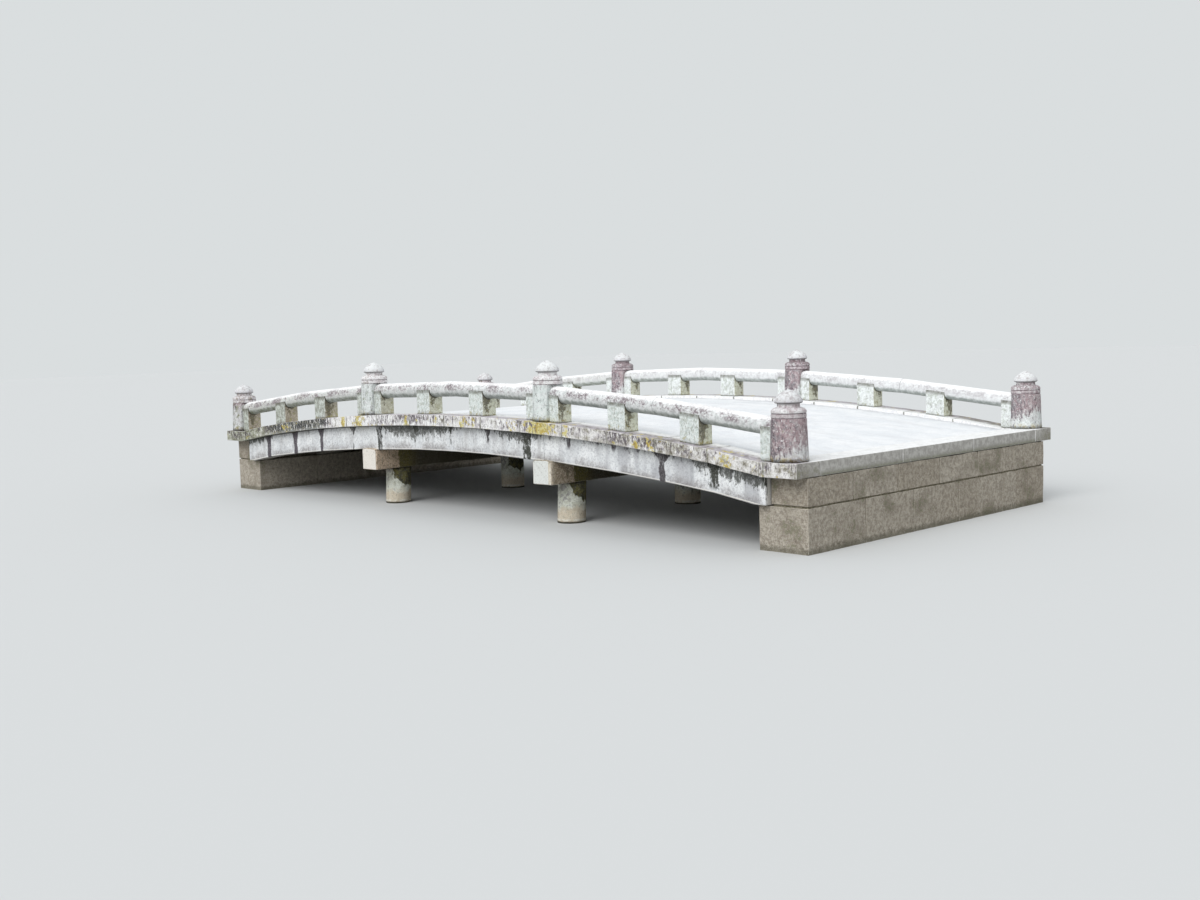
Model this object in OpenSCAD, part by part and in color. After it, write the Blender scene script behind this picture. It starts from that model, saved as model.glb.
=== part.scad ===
// Moon bridge: a gently cambered stone footbridge over a pond, three equal bays long.
// Millimetres. +X runs along the bridge, +Y across it, +Z up. The origin is the middle, at the water level.

/* [Camber] */
// Height of the kerb's top above the water at midspan
crown = 1342; // [1280:1:1450]
// Radius of the camber
camber_r = 39200; // [30000:100:60000]
// Half the length of the bridge
half_length = 5750; // [5200:10:6400]
// Height of the level end course, on which the end posts stand
end_top = 966; // [900:1:1040]
// Length of the level end course
end_course = 488; // [430:1:600]

/* [Plan] */
// Distance of the end posts' axis from the end of the bridge
end_post_in = 245; // [210:1:300]
// Distance of each parapet's centreline from the middle
parapet = 2545; // [2000:5:3200]
// Width of the kerb
kerb_width = 420; // [415:1:600]
// Length of one kerb stone
kerb_stone = 760; // [500:10:1200]
// Joint between stones
joint = 5; // [2:1:12]

/* [Deck and girders] */
// Thickness of the kerb
kerb_thick = 155; // [100:1:220]
// How far the deck lies below the kerb's top
deck_drop = 40; // [10:1:80]
// How far the deck lies below the sill where they meet
sill_lip = 4; // [1:1:20]
// Thickness of the level end course
end_thick = 162; // [100:1:220]
// Width of the sill stone, from the end of the deck to the end of the bridge
sill_width = 420; // [250:1:480]
// Depth of the girders
girder_depth = 340; // [240:1:380]
// How far the outer girders' faces lie outside the parapet's centreline
girder_out = 100; // [0:1:180]
// Width of the outer girders
girder_width = 250; // [150:1:400]
// Width of the inner girders
inner_width = 300; // [200:1:500]

/* [Piers and abutments] */
// Width of the cap beams along the bridge
cap_width = 350; // [200:1:500]
// How far the cap beams stand out from the girders' faces
cap_out = 50; // [0:1:120]
// Height of the cap beams
cap_height = 287; // [150:1:400]
// Diameter of the columns
column_d = 362; // [250:1:450]
// Distance of the outer columns from the end faces of the cap beam
column_in = 515; // [250:1:800]
// How much further out the outer columns stand at the water
batter = 30; // [0:1:80]
// Length of the abutment, from its face to the end of the bridge
abutment_depth = 650; // [560:10:900]
// How far the sides of the abutment are set back behind the girders' faces
abutment_in = 85; // [0:1:200]
// Level of the girder seat on the abutment
seat_z = 490; // [430:1:530]

/* [Parapet] */
// Height of the rail's centreline above the kerb
rail_h = 336; // [250:1:400]
// Diameter of the rail
rail_d = 205; // [120:1:220]
// Length of a short post along the bridge
short_length = 280; // [150:1:500]
// Depth of a short post across the bridge
short_depth = 225; // [208:1:260]
// How far a half post reaches from the main post's axis
half_reach = 292; // [220:1:400]
// Distance from a main post's axis to the flats that its rails meet
flat_in = 130; // [100:1:148]
// Clearance between stones that touch
gap = 0.3; // [0.1:0.1:1]

/* [Main posts] */
// Radius of the shaft at its foot
shaft_r = 206; // [180:1:209]
// Radius of the shaft below the collar
shaft_top_r = 188; // [170:1:200]
// Radius of the collar
collar_r = 186; // [170:1:200]
// Height of the collar's lower groove, up to which the shaft is cut flat
lower_groove = 449; // [420:1:470]
// Height of the collar's upper groove
upper_groove = 498; // [485:1:505]
// Width of the grooves
groove_width = 6; // [3:1:10]
// Depth of the grooves
groove_depth = 5; // [2:1:10]
// Height of the collar, where the shoulder begins
collar_h = 516; // [512:1:530]
// Height of the shoulder
shoulder_h = 44; // [20:1:60]
// Radius of the neck
neck_r = 120; // [80:1:130]
// Height of the cap's underside
cap_low = 602; // [595:1:612]
// Radius of the cap
cap_r = 149; // [140:1:180]
// Height at which the cap is widest
cap_wide = 620; // [615:1:640]
// Height of the post
post_h = 745; // [700:1:850]
// Radius of the cap's underside
cap_low_r = 131; // [131:1:139]

/* [Hidden] */
$fn = 96;

// Main posts stand at these distances along the bridge, in three equal bays
bay = (half_length - end_post_in) / 1.5;
post_x = [-1.5 * bay, -0.5 * bay, 0.5 * bay, 1.5 * bay];
pier_x = bay / 2;

// Places across the bridge that follow from the parapets
girder_face = parapet + girder_out;
cap_half = girder_face + cap_out;
column_y = cap_half - column_in;
abutment_half = girder_face - abutment_in;

// Places along the bridge that follow from its length
end_from = half_length - end_course;
sill_from = half_length - sill_width;
girder_end = end_from - joint / 2;
abutment_face = half_length - abutment_depth;

// The camber is a chain of straight runs from joint to joint, as the stones are laid
function arc_z(x) = crown - (camber_r - sqrt(camber_r * camber_r - x * x));
whole_stones = floor((end_from - kerb_stone / 4) / kerb_stone);
last_joint = whole_stones * kerb_stone;
knots = [for (i = [0:whole_stones]) i * kerb_stone];
camber = concat([for (k = knots) [k, arc_z(k)]], [[end_from, end_top], [half_length, end_top]]);
function top_z(x) = lookup(abs(x), camber);

// Soffit of the girders, level where they rest on the piers and the abutments
soffit_drop = kerb_thick + girder_depth;
pier_seat = top_z(pier_x) - soffit_drop;
soffit = concat(
  [for (k = knots) if (k < pier_x - cap_width) [k, arc_z(k) - soffit_drop]],
  [[pier_x - cap_width / 2, pier_seat], [pier_x + cap_width / 2, pier_seat]],
  [for (k = knots) if (k > pier_x + cap_width && k < abutment_face - cap_width)
    [k, arc_z(k) - soffit_drop]],
  [[abutment_face, seat_z], [half_length, seat_z]]);
function soffit_z(x) = lookup(abs(x), soffit);

// Breaks of a table between a and b, both signs, in rising order
function breaks(table, a, b) = concat(
  [for (i = [len(table) - 1:-1:1]) if (-table[i][0] > a + 1 && -table[i][0] < b - 1) -table[i][0]],
  [for (i = [0:len(table) - 1]) if (table[i][0] > a + 1 && table[i][0] < b - 1) table[i][0]]);
function run(table, a, b) = concat([a], breaks(table, a, b), [b]);
function reversed(list) = [for (i = [len(list) - 1:-1:0]) list[i]];

// A solid between y0 and y1 across, with the outline of `upper` and then `lower`, both from left to right
module across(upper, lower, y0, y1) {
  translate([0, y1, 0])
    rotate([90, 0, 0])
      linear_extrude(height = y1 - y0)
        polygon(concat(upper, reversed(lower)));
}

// A band between x = a and b that follows the camber, from `up` to `down` above the kerb's top
module band(a, b, up, down, y0, y1) {
  xs = run(camber, a, b);
  across([for (x = xs) [x, top_z(x) + up]], [for (x = xs) [x, top_z(x) + down]], y0, y1);
}

// A girder between x = a and b
module girder(a, b, y0, y1) {
  across([for (x = run(camber, a, b)) [x, top_z(x) - kerb_thick]],
    [for (x = run(soffit, a, b)) [x, soffit_z(x)]], y0, y1);
}

// Ends of the three spans, from the left
span = [
  [-girder_end, -pier_x - joint / 2],
  [-pier_x + joint / 2, pier_x - joint / 2],
  [pier_x + joint / 2, girder_end]
];

module near_girder(i) girder(span[i][0], span[i][1], -girder_face, -girder_face + girder_width);
module far_girder(i) girder(span[i][0], span[i][1], girder_face - girder_width, girder_face);

// Three inner girders, spaced evenly between the outer ones
inner_pitch = (girder_face - girder_width / 2) / 2;
module inner_girders(i) {
  for (k = [-1, 0, 1])
    girder(span[i][0], span[i][1], k * inner_pitch - inner_width / 2, k * inner_pitch + inner_width / 2);
}

// Deck slab: lies lower than the kerbs and comes up to the sill at each end
deck_half = parapet - kerb_width / 2;
slab_joint = 1;
deck_span = [
  [-sill_from + slab_joint, -pier_x - slab_joint],
  [-pier_x + slab_joint, pier_x - slab_joint],
  [pier_x + slab_joint, sill_from - slab_joint]
];
deck_table = [[0, deck_drop], [last_joint, deck_drop], [sill_from, sill_lip]];
function deck_z(x) = top_z(x) - lookup(abs(x), deck_table);
module deck(i) {
  xs = run(camber, deck_span[i][0], deck_span[i][1]);
  across([for (x = xs) [x, deck_z(x)]], [for (x = xs) [x, top_z(x) - kerb_thick]], -deck_half, deck_half);
}

// Sill stone: the level end course between the end stones of the kerbs
module sill(side) {
  translate([side < 0 ? -half_length : sill_from, -deck_half, end_top - end_thick])
    cube([sill_width, 2 * deck_half, end_thick]);
}

// Kerb: one stone from joint to joint, and a level end stone under each end post
module kerb_run(a, b, y)
  band(a + joint / 2, b - joint / 2, 0, -kerb_thick, y - kerb_width / 2, y + kerb_width / 2);
module kerb(y) {
  for (i = [-whole_stones:whole_stones - 1]) kerb_run(i * kerb_stone, (i + 1) * kerb_stone, y);
  kerb_run(-end_from, -last_joint, y);
  kerb_run(last_joint, end_from, y);
  for (x = [-half_length, end_from + joint / 2])
    translate([x, y - kerb_width / 2, end_top - end_thick])
      cube([end_course - joint / 2, kerb_width, end_thick]);
}

// Abutment: a block from the water up to the girder seat, and a wall behind the girder ends
module abutment(side) {
  wall_from = girder_end + joint;
  wall_top = end_top - end_thick;
  mirror([side < 0 ? 1 : 0, 0, 0]) {
    translate([abutment_face, -abutment_half, 0]) cube([abutment_depth, 2 * abutment_half, seat_z]);
    translate([wall_from, -abutment_half, seat_z - 1])
      cube([half_length - wall_from, 2 * abutment_half, wall_top - seat_z + 1]);
  }
}

// Columns: the middle one upright, the outer ones with their feet further out
column_top = pier_seat - cap_height;
module outer_column(x, side) {
  intersection() {
    translate([x, side * column_y, column_top])
      rotate([side * atan(batter / column_top), 0, 0])
        translate([0, 0, -column_top - column_d])
          cylinder(h = column_top + 2 * column_d, d = column_d);
    translate([x - column_d, side * column_y - column_d, 0]) cube([2 * column_d, 2 * column_d, column_top]);
  }
}
module columns(x) {
  translate([x, 0, 0]) cylinder(h = column_top, d = column_d);
  outer_column(x, -1);
  outer_column(x, 1);
}

module cap_beam(x) {
  translate([x - cap_width / 2, -cap_half, column_top]) cube([cap_width, 2 * cap_half, cap_height]);
}

// Main post: tapered shaft, collar with two grooves, curved shoulder, neck and a low domed cap
foot = 60;
bevel = 4;
function groove(z) = [
  [collar_r - groove_depth, z - groove_width / 2], [collar_r - groove_depth, z + groove_width / 2],
  [collar_r, z + groove_width / 2 + bevel]];
function below_groove(z) = z - groove_width / 2 - bevel;

// The shoulder and the cap's underside are quarters of an ellipse, the dome is fuller than one
function shoulder(a) = [neck_r + (collar_r - neck_r) * cos(a), collar_h + shoulder_h * sin(a)];
function underside(a) = [cap_low_r + (cap_r - cap_low_r) * cos(a), cap_wide - (cap_wide - cap_low) * sin(a)];
function dome(a) = [cap_r * pow(cos(a), 1.54), cap_wide + (post_h - cap_wide) * pow(sin(a), 1.11)];
post_profile = concat(
  [[0, -foot], [shaft_r, -foot], [shaft_r, 0], [shaft_top_r, below_groove(lower_groove)]],
  groove(lower_groove), [[collar_r, below_groove(upper_groove)]], groove(upper_groove),
  [for (a = [0:15:90]) shoulder(a)], [[neck_r, cap_low - 1]],
  [for (a = [90:-30:30]) underside(a)], [for (a = [0:6:90]) dome(a)]);

// The shaft is cut flat, up to the lower groove, on each side where a rail meets it
module flat_cut(x0, x1, y0, y1, z)
  translate([x0, y0, z - 2 * foot]) cube([x1 - x0, y1 - y0, lower_groove + 2 * foot]);

module main_post(i, y) {
  x = post_x[i];
  around = 1.5 * shaft_r;
  difference() {
    translate([x, y, top_z(x)]) rotate_extrude() polygon(post_profile);
    band(max(x - around, -half_length), min(x + around, half_length), 0, -3 * foot, y - around, y + around);
    if (i > 0) flat_cut(x - around, x - flat_in, y - around, y + around, top_z(x));
    if (i < len(post_x) - 1) flat_cut(x + flat_in, x + around, y - around, y + around, top_z(x));
  }
}

// Rail: two straight stones in a bay, each on a half post and a short post, that meet at mid-bay
clear = bay - 2 * half_reach;
opening = (clear - 2 * short_length) / 3;
first_short = half_reach + opening + short_length / 2;
function low_x(i, k) = k < 0 ? post_x[i] : post_x[i + 1];
function mid_x(i) = (post_x[i] + post_x[i + 1]) / 2;
function rise(i, k) = top_z(mid_x(i)) - top_z(low_x(i, k));
function slope(i, k) = rise(i, k) / (mid_x(i) - low_x(i, k));
function rail_z(i, k, x) = top_z(low_x(i, k)) + rail_h + slope(i, k) * (x - low_x(i, k));

// Full round along the line of a rail stone; k is -1 for the bay's left stone, 1 for its right one
module rail_round(i, k, y, r) {
  x0 = min(low_x(i, k), mid_x(i)) - rail_d;
  translate([x0, y, rail_z(i, k, x0)])
    rotate([0, -atan(slope(i, k)), 0])
      rotate([0, 90, 0])
        cylinder(h = bay / 2 + 3 * rail_d, r = r);
}

// Where the stones against the flat of a main post begin
function flat_x(i, k) = low_x(i, k) - k * (flat_in + gap);

module rail_stone(i, k, y) {
  x0 = k < 0 ? flat_x(i, k) : mid_x(i) + joint / 2;
  x1 = k < 0 ? mid_x(i) - joint / 2 : flat_x(i, k);
  low = min(rail_z(i, k, x0), rail_z(i, k, x1)) - rail_d;
  high = max(rail_z(i, k, x0), rail_z(i, k, x1)) + rail_d;
  difference() {
    intersection() {
      rail_round(i, k, y, rail_d / 2);
      translate([x0, y - rail_d, low]) cube([x1 - x0, 2 * rail_d, high - low]);
    }
    translate([low_x(i, k), y, top_z(low_x(i, k)) + lower_groove - gap])
      cylinder(h = rail_d, r = collar_r + gap);
  }
}

module rail(i, y) {
  rail_stone(i, -1, y);
  rail_stone(i, 1, y);
}

// A block on the kerb that rises to the centreline of rail stone k
module block(i, k, a, b, y) {
  across([for (x = [a, b]) [x, rail_z(i, k, x)]], [for (x = run(camber, a, b)) [x, top_z(x)]],
    y - short_depth / 2, y + short_depth / 2);
}

// Short post, hollowed to a half round where the rail lies
module short_post(i, k, y) {
  x = low_x(i, k) - k * first_short;
  difference() {
    block(i, k, x - short_length / 2, x + short_length / 2, y);
    rail_round(i, k, y, rail_d / 2 + gap);
  }
}

// Half post against the flat of a main post
module half_post(i, k, y) {
  near = flat_x(i, k);
  far = low_x(i, k) - k * half_reach;
  difference() {
    block(i, k, min(near, far), max(near, far), y);
    rail_round(i, k, y, rail_d / 2 + gap);
  }
}

// Short posts and half posts of one bay
module saddles(i, y) {
  for (k = [-1, 1]) {
    half_post(i, k, y);
    short_post(i, k, y);
  }
}

// Colours of the stones
abutment_stone = [0.55, 0.54, 0.5];
column_stone = [0.6, 0.6, 0.56];
beam_stone = [0.72, 0.69, 0.62];
girder_stone = [0.66, 0.69, 0.72];
inner_stone = [0.58, 0.58, 0.56];
deck_stone = [0.86, 0.86, 0.87];
sill_stone = [0.9, 0.9, 0.9];
kerb_grey = [0.62, 0.6, 0.56];
post_stone = [0.72, 0.68, 0.68];
saddle_stone = [0.76, 0.77, 0.73];
rail_stone_grey = [0.84, 0.84, 0.84];

module left_abutment() color(abutment_stone) abutment(-1);
module right_abutment() color(abutment_stone) abutment(1);
module left_pier_columns() color(column_stone) columns(-pier_x);
module left_pier_cap_beam() color(beam_stone) cap_beam(-pier_x);
module right_pier_columns() color(column_stone) columns(pier_x);
module right_pier_cap_beam() color(beam_stone) cap_beam(pier_x);
module near_girder_left() color(girder_stone) near_girder(0);
module near_girder_centre() color(girder_stone) near_girder(1);
module near_girder_right() color(girder_stone) near_girder(2);
module far_girder_left() color(girder_stone) far_girder(0);
module far_girder_centre() color(girder_stone) far_girder(1);
module far_girder_right() color(girder_stone) far_girder(2);
module inner_girders_left() color(inner_stone) inner_girders(0);
module inner_girders_centre() color(inner_stone) inner_girders(1);
module inner_girders_right() color(inner_stone) inner_girders(2);
module deck_left() color(deck_stone) deck(0);
module deck_centre() color(deck_stone) deck(1);
module deck_right() color(deck_stone) deck(2);
module left_sill() color(sill_stone) sill(-1);
module right_sill() color(sill_stone) sill(1);
module near_kerb() color(kerb_grey) kerb(-parapet);
module far_kerb() color(kerb_grey) kerb(parapet);
module near_post_1() color(post_stone) main_post(0, -parapet);
module near_post_2() color(post_stone) main_post(1, -parapet);
module near_post_3() color(post_stone) main_post(2, -parapet);
module near_post_4() color(post_stone) main_post(3, -parapet);
module far_post_1() color(post_stone) main_post(0, parapet);
module far_post_2() color(post_stone) main_post(1, parapet);
module far_post_3() color(post_stone) main_post(2, parapet);
module far_post_4() color(post_stone) main_post(3, parapet);
module near_saddles_left() color(saddle_stone) saddles(0, -parapet);
module near_saddles_centre() color(saddle_stone) saddles(1, -parapet);
module near_saddles_right() color(saddle_stone) saddles(2, -parapet);
module far_saddles_left() color(saddle_stone) saddles(0, parapet);
module far_saddles_centre() color(saddle_stone) saddles(1, parapet);
module far_saddles_right() color(saddle_stone) saddles(2, parapet);
module near_rail_left() color(rail_stone_grey) rail(0, -parapet);
module near_rail_centre() color(rail_stone_grey) rail(1, -parapet);
module near_rail_right() color(rail_stone_grey) rail(2, -parapet);
module far_rail_left() color(rail_stone_grey) rail(0, parapet);
module far_rail_centre() color(rail_stone_grey) rail(1, parapet);
module far_rail_right() color(rail_stone_grey) rail(2, parapet);

left_abutment();
right_abutment();
left_pier_columns();
left_pier_cap_beam();
right_pier_columns();
right_pier_cap_beam();
near_girder_left();
near_girder_centre();
near_girder_right();
far_girder_left();
far_girder_centre();
far_girder_right();
inner_girders_left();
inner_girders_centre();
inner_girders_right();
deck_left();
deck_centre();
deck_right();
left_sill();
right_sill();
near_kerb();
far_kerb();
near_post_1();
near_post_2();
near_post_3();
near_post_4();
far_post_1();
far_post_2();
far_post_3();
far_post_4();
near_saddles_left();
near_saddles_centre();
near_saddles_right();
far_saddles_left();
far_saddles_centre();
far_saddles_right();
near_rail_left();
near_rail_centre();
near_rail_right();
far_rail_left();
far_rail_centre();
far_rail_right();
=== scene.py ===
import math

import bpy
import numpy as np
from mathutils import Matrix, Vector


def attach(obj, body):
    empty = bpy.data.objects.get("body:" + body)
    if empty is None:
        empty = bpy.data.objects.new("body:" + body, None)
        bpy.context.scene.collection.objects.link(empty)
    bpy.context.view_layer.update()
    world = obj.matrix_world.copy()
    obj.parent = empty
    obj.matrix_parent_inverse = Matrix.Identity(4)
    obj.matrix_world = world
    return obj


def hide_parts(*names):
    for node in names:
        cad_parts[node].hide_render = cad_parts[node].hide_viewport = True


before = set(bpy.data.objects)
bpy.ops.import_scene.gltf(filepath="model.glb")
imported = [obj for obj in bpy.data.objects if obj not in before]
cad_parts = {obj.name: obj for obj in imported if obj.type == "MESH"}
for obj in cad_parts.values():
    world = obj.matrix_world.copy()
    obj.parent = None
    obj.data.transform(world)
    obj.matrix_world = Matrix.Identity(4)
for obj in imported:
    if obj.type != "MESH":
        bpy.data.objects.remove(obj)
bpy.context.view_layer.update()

# Sizes in metres, the same as in the part's source
CROWN = 1.342  # the kerb's top in the middle of the bridge
CAMBER_R = 39.2
HALF = 5.75  # half the bridge's length
END_FROM = 5.262  # the joint before the level stones at each end
END_TOP = 0.966  # the top of those stones
STONE = 0.76  # a kerb stone with its joint
WHOLE_STONES = 6  # whole stones each way from the middle
JOINT = 0.005
BAY = 3.67  # from main post to main post
PARAPET = 2.545  # from the bridge's middle line to the rails' axis
KERB_WIDTH = 0.42
KERB_THICK = 0.155
END_THICK = 0.162
DECK_DROP = 0.04  # the deck lies this far below the kerb's top
SILL_LIP = 0.004
SILL_FROM = 5.33
GIRDER_DEPTH = 0.34
GIRDER_FACE = 2.645  # from the middle line to the outer girders' faces
GIRDER_WIDTH = 0.25
CAP_WIDTH = 0.35  # of the cap beams
CAP_HALF = 2.695
CAP_HEIGHT = 0.287
COLUMN_R = 0.181
COLUMN_Y = 2.18
BATTER = 0.03  # the outer columns' feet stand this much further out
ABUTMENT_FACE = 5.1
ABUTMENT_HALF = 2.56
SEAT_Z = 0.49  # where the girders rest on the abutments
RAIL_H = 0.336  # the rails' axis above the kerb's top
RAIL_R = 0.1025
SHAFT_R = 0.206  # of the main posts, from here to POST_H
SHAFT_TOP_R = 0.188
FLAT_IN = 0.13  # from a main post's axis to its flats
COLLAR_R = 0.186
GROOVE_DEPTH = 0.005
LOWER_GROOVE = 0.449
UPPER_GROOVE = 0.498
COLLAR_H = 0.516
SHOULDER_H = 0.044
NECK_R = 0.12
CAP_LOW = 0.602
CAP_LOW_R = 0.131
CAP_R = 0.149
CAP_WIDE = 0.62
POST_H = 0.745
SHORT_LENGTH = 0.28
SHORT_DEPTH = 0.225
HALF_REACH = 0.292  # from a main post's axis to the end of its half posts

LAST_JOINT = WHOLE_STONES * STONE
GIRDER_END = END_FROM - JOINT / 2
POST_X = [-1.5 * BAY, -0.5 * BAY, 0.5 * BAY, 1.5 * BAY]
PIER_X = BAY / 2
DECK_HALF = PARAPET - KERB_WIDTH / 2
BAYS = ["left", "centre", "right"]
SIDES = {"near": -1, "far": 1}
ENDS = {"left": -1, "right": 1}

# Sizes of the worn stones, which only the visual model has
HEAD_R = 0.03  # rounding of the cap beams' heads
HEAD_RISE = 0.026  # arch on top of them
MORTAR_BACK = 0.009  # how far the kerbs' mortar lies behind their faces
HAIR = 0.0005  # keeps faces that touch out of one plane
AT_FLAT = 0.0004  # between a main post's flat and the stones that meet it
DECK_GAP = 0.001
SILL_GAP = 0.002
BLOCK_GAP = 0.004
FLAT_END = 0.02  # a tube whose last two rings are nearer than this ends in a flat face

# The first seed of each kind of stone's unevenness
KERB_SEED, KERB_END_SEED, GIRDER_SEED, DECK_SEED, SILL_SEED = 100, 300, 400, 500, 600
BEAM_SEED, COLUMN_SEED, ABUTMENT_SEED = 700, 800, 900
POST_SEED, RAIL_SEED, SHORT_SEED, HALF_SEED = 1000, 1100, 1200, 1300


# Lines of the bridge along its length

def arc_z(x):
    """Height of the camber's circle at x."""
    return CROWN - (CAMBER_R - np.sqrt(CAMBER_R ** 2 - x ** 2))


KNOTS = np.append(STONE * np.arange(WHOLE_STONES + 1), [END_FROM, HALF])
KNOT_Z = np.append(arc_z(KNOTS[:-2]), [END_TOP, END_TOP])


def top_z(x):
    """Height of the kerb's top: straight from joint to joint, level on the end course."""
    return np.interp(np.abs(x), KNOTS, KNOT_Z)


def under_top(drop):
    """The line that runs `drop` below the kerb's top, as a function of x."""
    return lambda x: top_z(x) - drop


def deck_z(x):
    """Height of the deck: below the kerb's top by a drop that shrinks to the sill's lip at the ends."""
    return top_z(x) - np.interp(np.abs(x), [0, LAST_JOINT, SILL_FROM], [DECK_DROP, DECK_DROP, SILL_LIP])


SOFFIT_DROP = KERB_THICK + GIRDER_DEPTH
PIER_SEAT = float(top_z(PIER_X)) - SOFFIT_DROP
COLUMN_TOP = PIER_SEAT - CAP_HEIGHT
INNER_KNOTS = STONE * np.arange(2)
OUTER_KNOTS = STONE * np.arange(3, WHOLE_STONES + 1)
SOFFIT_X = np.concatenate([INNER_KNOTS, [PIER_X - CAP_WIDTH / 2, PIER_X + CAP_WIDTH / 2], OUTER_KNOTS,
                           [ABUTMENT_FACE, HALF]])
SOFFIT_Z = np.concatenate([arc_z(INNER_KNOTS) - SOFFIT_DROP, [PIER_SEAT, PIER_SEAT],
                           arc_z(OUTER_KNOTS) - SOFFIT_DROP, [SEAT_Z, SEAT_Z]])


def soffit_z(x):
    """Height of the girders' underside: straight from break to break, level on the piers and abutments."""
    return np.interp(np.abs(x), SOFFIT_X, SOFFIT_Z)


def both_ways(x):
    """The places x, which start at 0, together with their mirror images, in order."""
    return np.concatenate([-x[:0:-1], x])


CAMBER_BREAKS = both_ways(KNOTS[:-1])
SOFFIT_BREAKS = both_ways(SOFFIT_X[:-1])


def rail_line(bay, end):
    """Where a bay's rail stone at this end (-1 left, 1 right) meets its main post: place, height and slope.
    The stone is straight, from there to the same height above the kerb's top at mid-bay."""
    low_x = POST_X[bay] if end < 0 else POST_X[bay + 1]
    mid_x = (POST_X[bay] + POST_X[bay + 1]) / 2
    slope = float(top_z(mid_x) - top_z(low_x)) / (mid_x - low_x)
    return low_x, float(top_z(low_x)) + RAIL_H, slope


def rail_z(bay, end, x):
    """Height of a rail stone's axis at x."""
    low_x, low_z, slope = rail_line(bay, end)
    return low_z + slope * (x - low_x)


# Shapes

def wander(p, size, seed):
    """Smooth random values from -1 to 1 at the points p: random numbers on a lattice, blended by a cubic."""
    table = np.random.default_rng(seed).uniform(-1, 1, (16, 16, 16))
    q = p / size
    low = np.floor(q).astype(int)
    f = q - low
    f = f * f * (3 - 2 * f)
    total = 0
    for corner in range(8):
        step = np.array([corner & 1, corner >> 1 & 1, corner >> 2 & 1])
        i, j, k = np.moveaxis((low + step) % 16, -1, 0)
        total = total + table[i, j, k] * np.prod(np.where(step, f, 1 - f), axis=-1)
    return total


def worn_back(p, depth, layers, mean=1.0):
    """How far a face has worn back at the points p, as a number below 0: `depth` times the sum of some
    layers of random lumps, less their mean. A layer is the size of its lumps, its strength and its seed."""
    return depth * (sum(strength * wander(p, size, seed) for size, strength, seed in layers) - mean)


def chips(p, depth, size, least, seed):
    """Chips at the points p: `depth` times what random lumps of this size stand above `least`, or 0."""
    return depth * np.clip(wander(p, size, seed) - least, 0, 1)


def stations(a, b, step, breaks=()):
    """Places from a to b about `step` apart, with the breaks of a line between them, each of them once."""
    places = np.linspace(a, b, max(2, int(round((b - a) / step)) + 1))
    breaks = np.unique(np.round(np.asarray(breaks, float), 9))
    breaks = breaks[(breaks > a + 0.01) & (breaks < b - 0.01)]
    apart = np.abs(places[:, None] - breaks).min(axis=1, initial=step)
    return np.sort(np.concatenate([places[apart > 0.3 * step], breaks]))


def along(x, *pairs):
    """A value that changes evenly along x from each given place to the next."""
    places, values = np.array(pairs).T
    return np.interp(x, places, values)


def spots(x, *places):
    """The strongest of some spots along x, each of them a middle, a half width and a strength."""
    fading = [strength * np.clip(1 - np.abs(x - middle) / half, 0, 1) for middle, half, strength in places]
    return np.max(fading, axis=0)


def with_wear(p, worn):
    """Adds to each point its wear: 1 on a worn arris, -1 in the bottom of a groove."""
    return np.concatenate([p, np.broadcast_to(worn, p.shape[:-1])[..., None]], axis=-1)


CORNERS = np.array([(1, 0), (1, 1), (0, 1), (0, 0)])


def ring_of(corner_r, fine_a, fine_b, steps=3):
    """A rectangle's outline with rounded corners: each point's share across and up, its outward normal and
    its corner's radius. Each corner is a quarter circle in `steps` steps, and on the sides between, in
    fine_a and fine_b parts, shares and radii change evenly."""
    shares, turns, radii = [], [], []
    for c in range(4):
        following = (c + 1) % 4
        parts = fine_a if c % 2 else fine_b
        t = np.append(np.zeros(steps + 1), np.arange(1, parts) / parts)
        shares.append(CORNERS[c] + (CORNERS[following] - CORNERS[c]) * t[:, None])
        turns.append(np.append(c - 1 + np.arange(steps + 1) / steps, np.full(parts - 1, c)))
        radii.append(corner_r[c] * (1 - t) + corner_r[following] * t)
    turn = math.pi / 2 * np.concatenate(turns)
    return np.concatenate(shares), np.stack([np.cos(turn), np.sin(turn)], axis=1), np.concatenate(radii)


def end_rounding(s, r, steps=3):
    """Adds rings at both ends of the places s, drawn in along a quarter circle of radius r.
    Returns the places and how far each ring is drawn in."""
    turn = np.linspace(0, math.pi / 2, steps + 1)
    inside = s[(s > s[0] + 1.2 * r) & (s < s[-1] - 1.2 * r)]
    first = s[0] + r * (1 - np.cos(turn))
    last = s[-1] - r * (1 - np.cos(turn[::-1]))
    drawn = r * (1 - np.sin(turn))
    return np.concatenate([first, inside, last]), np.concatenate([drawn, 0 * inside, drawn[::-1]])


def rim_wear(arris, drawn, r):
    """Wear 1 on the arrises, and on the rings between an end face's edge and the full outline."""
    full = drawn < 0.95 * r
    rim = (drawn > 0.05 * r) & full
    return (arris & full[:, None]) | rim[:, None]


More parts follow.
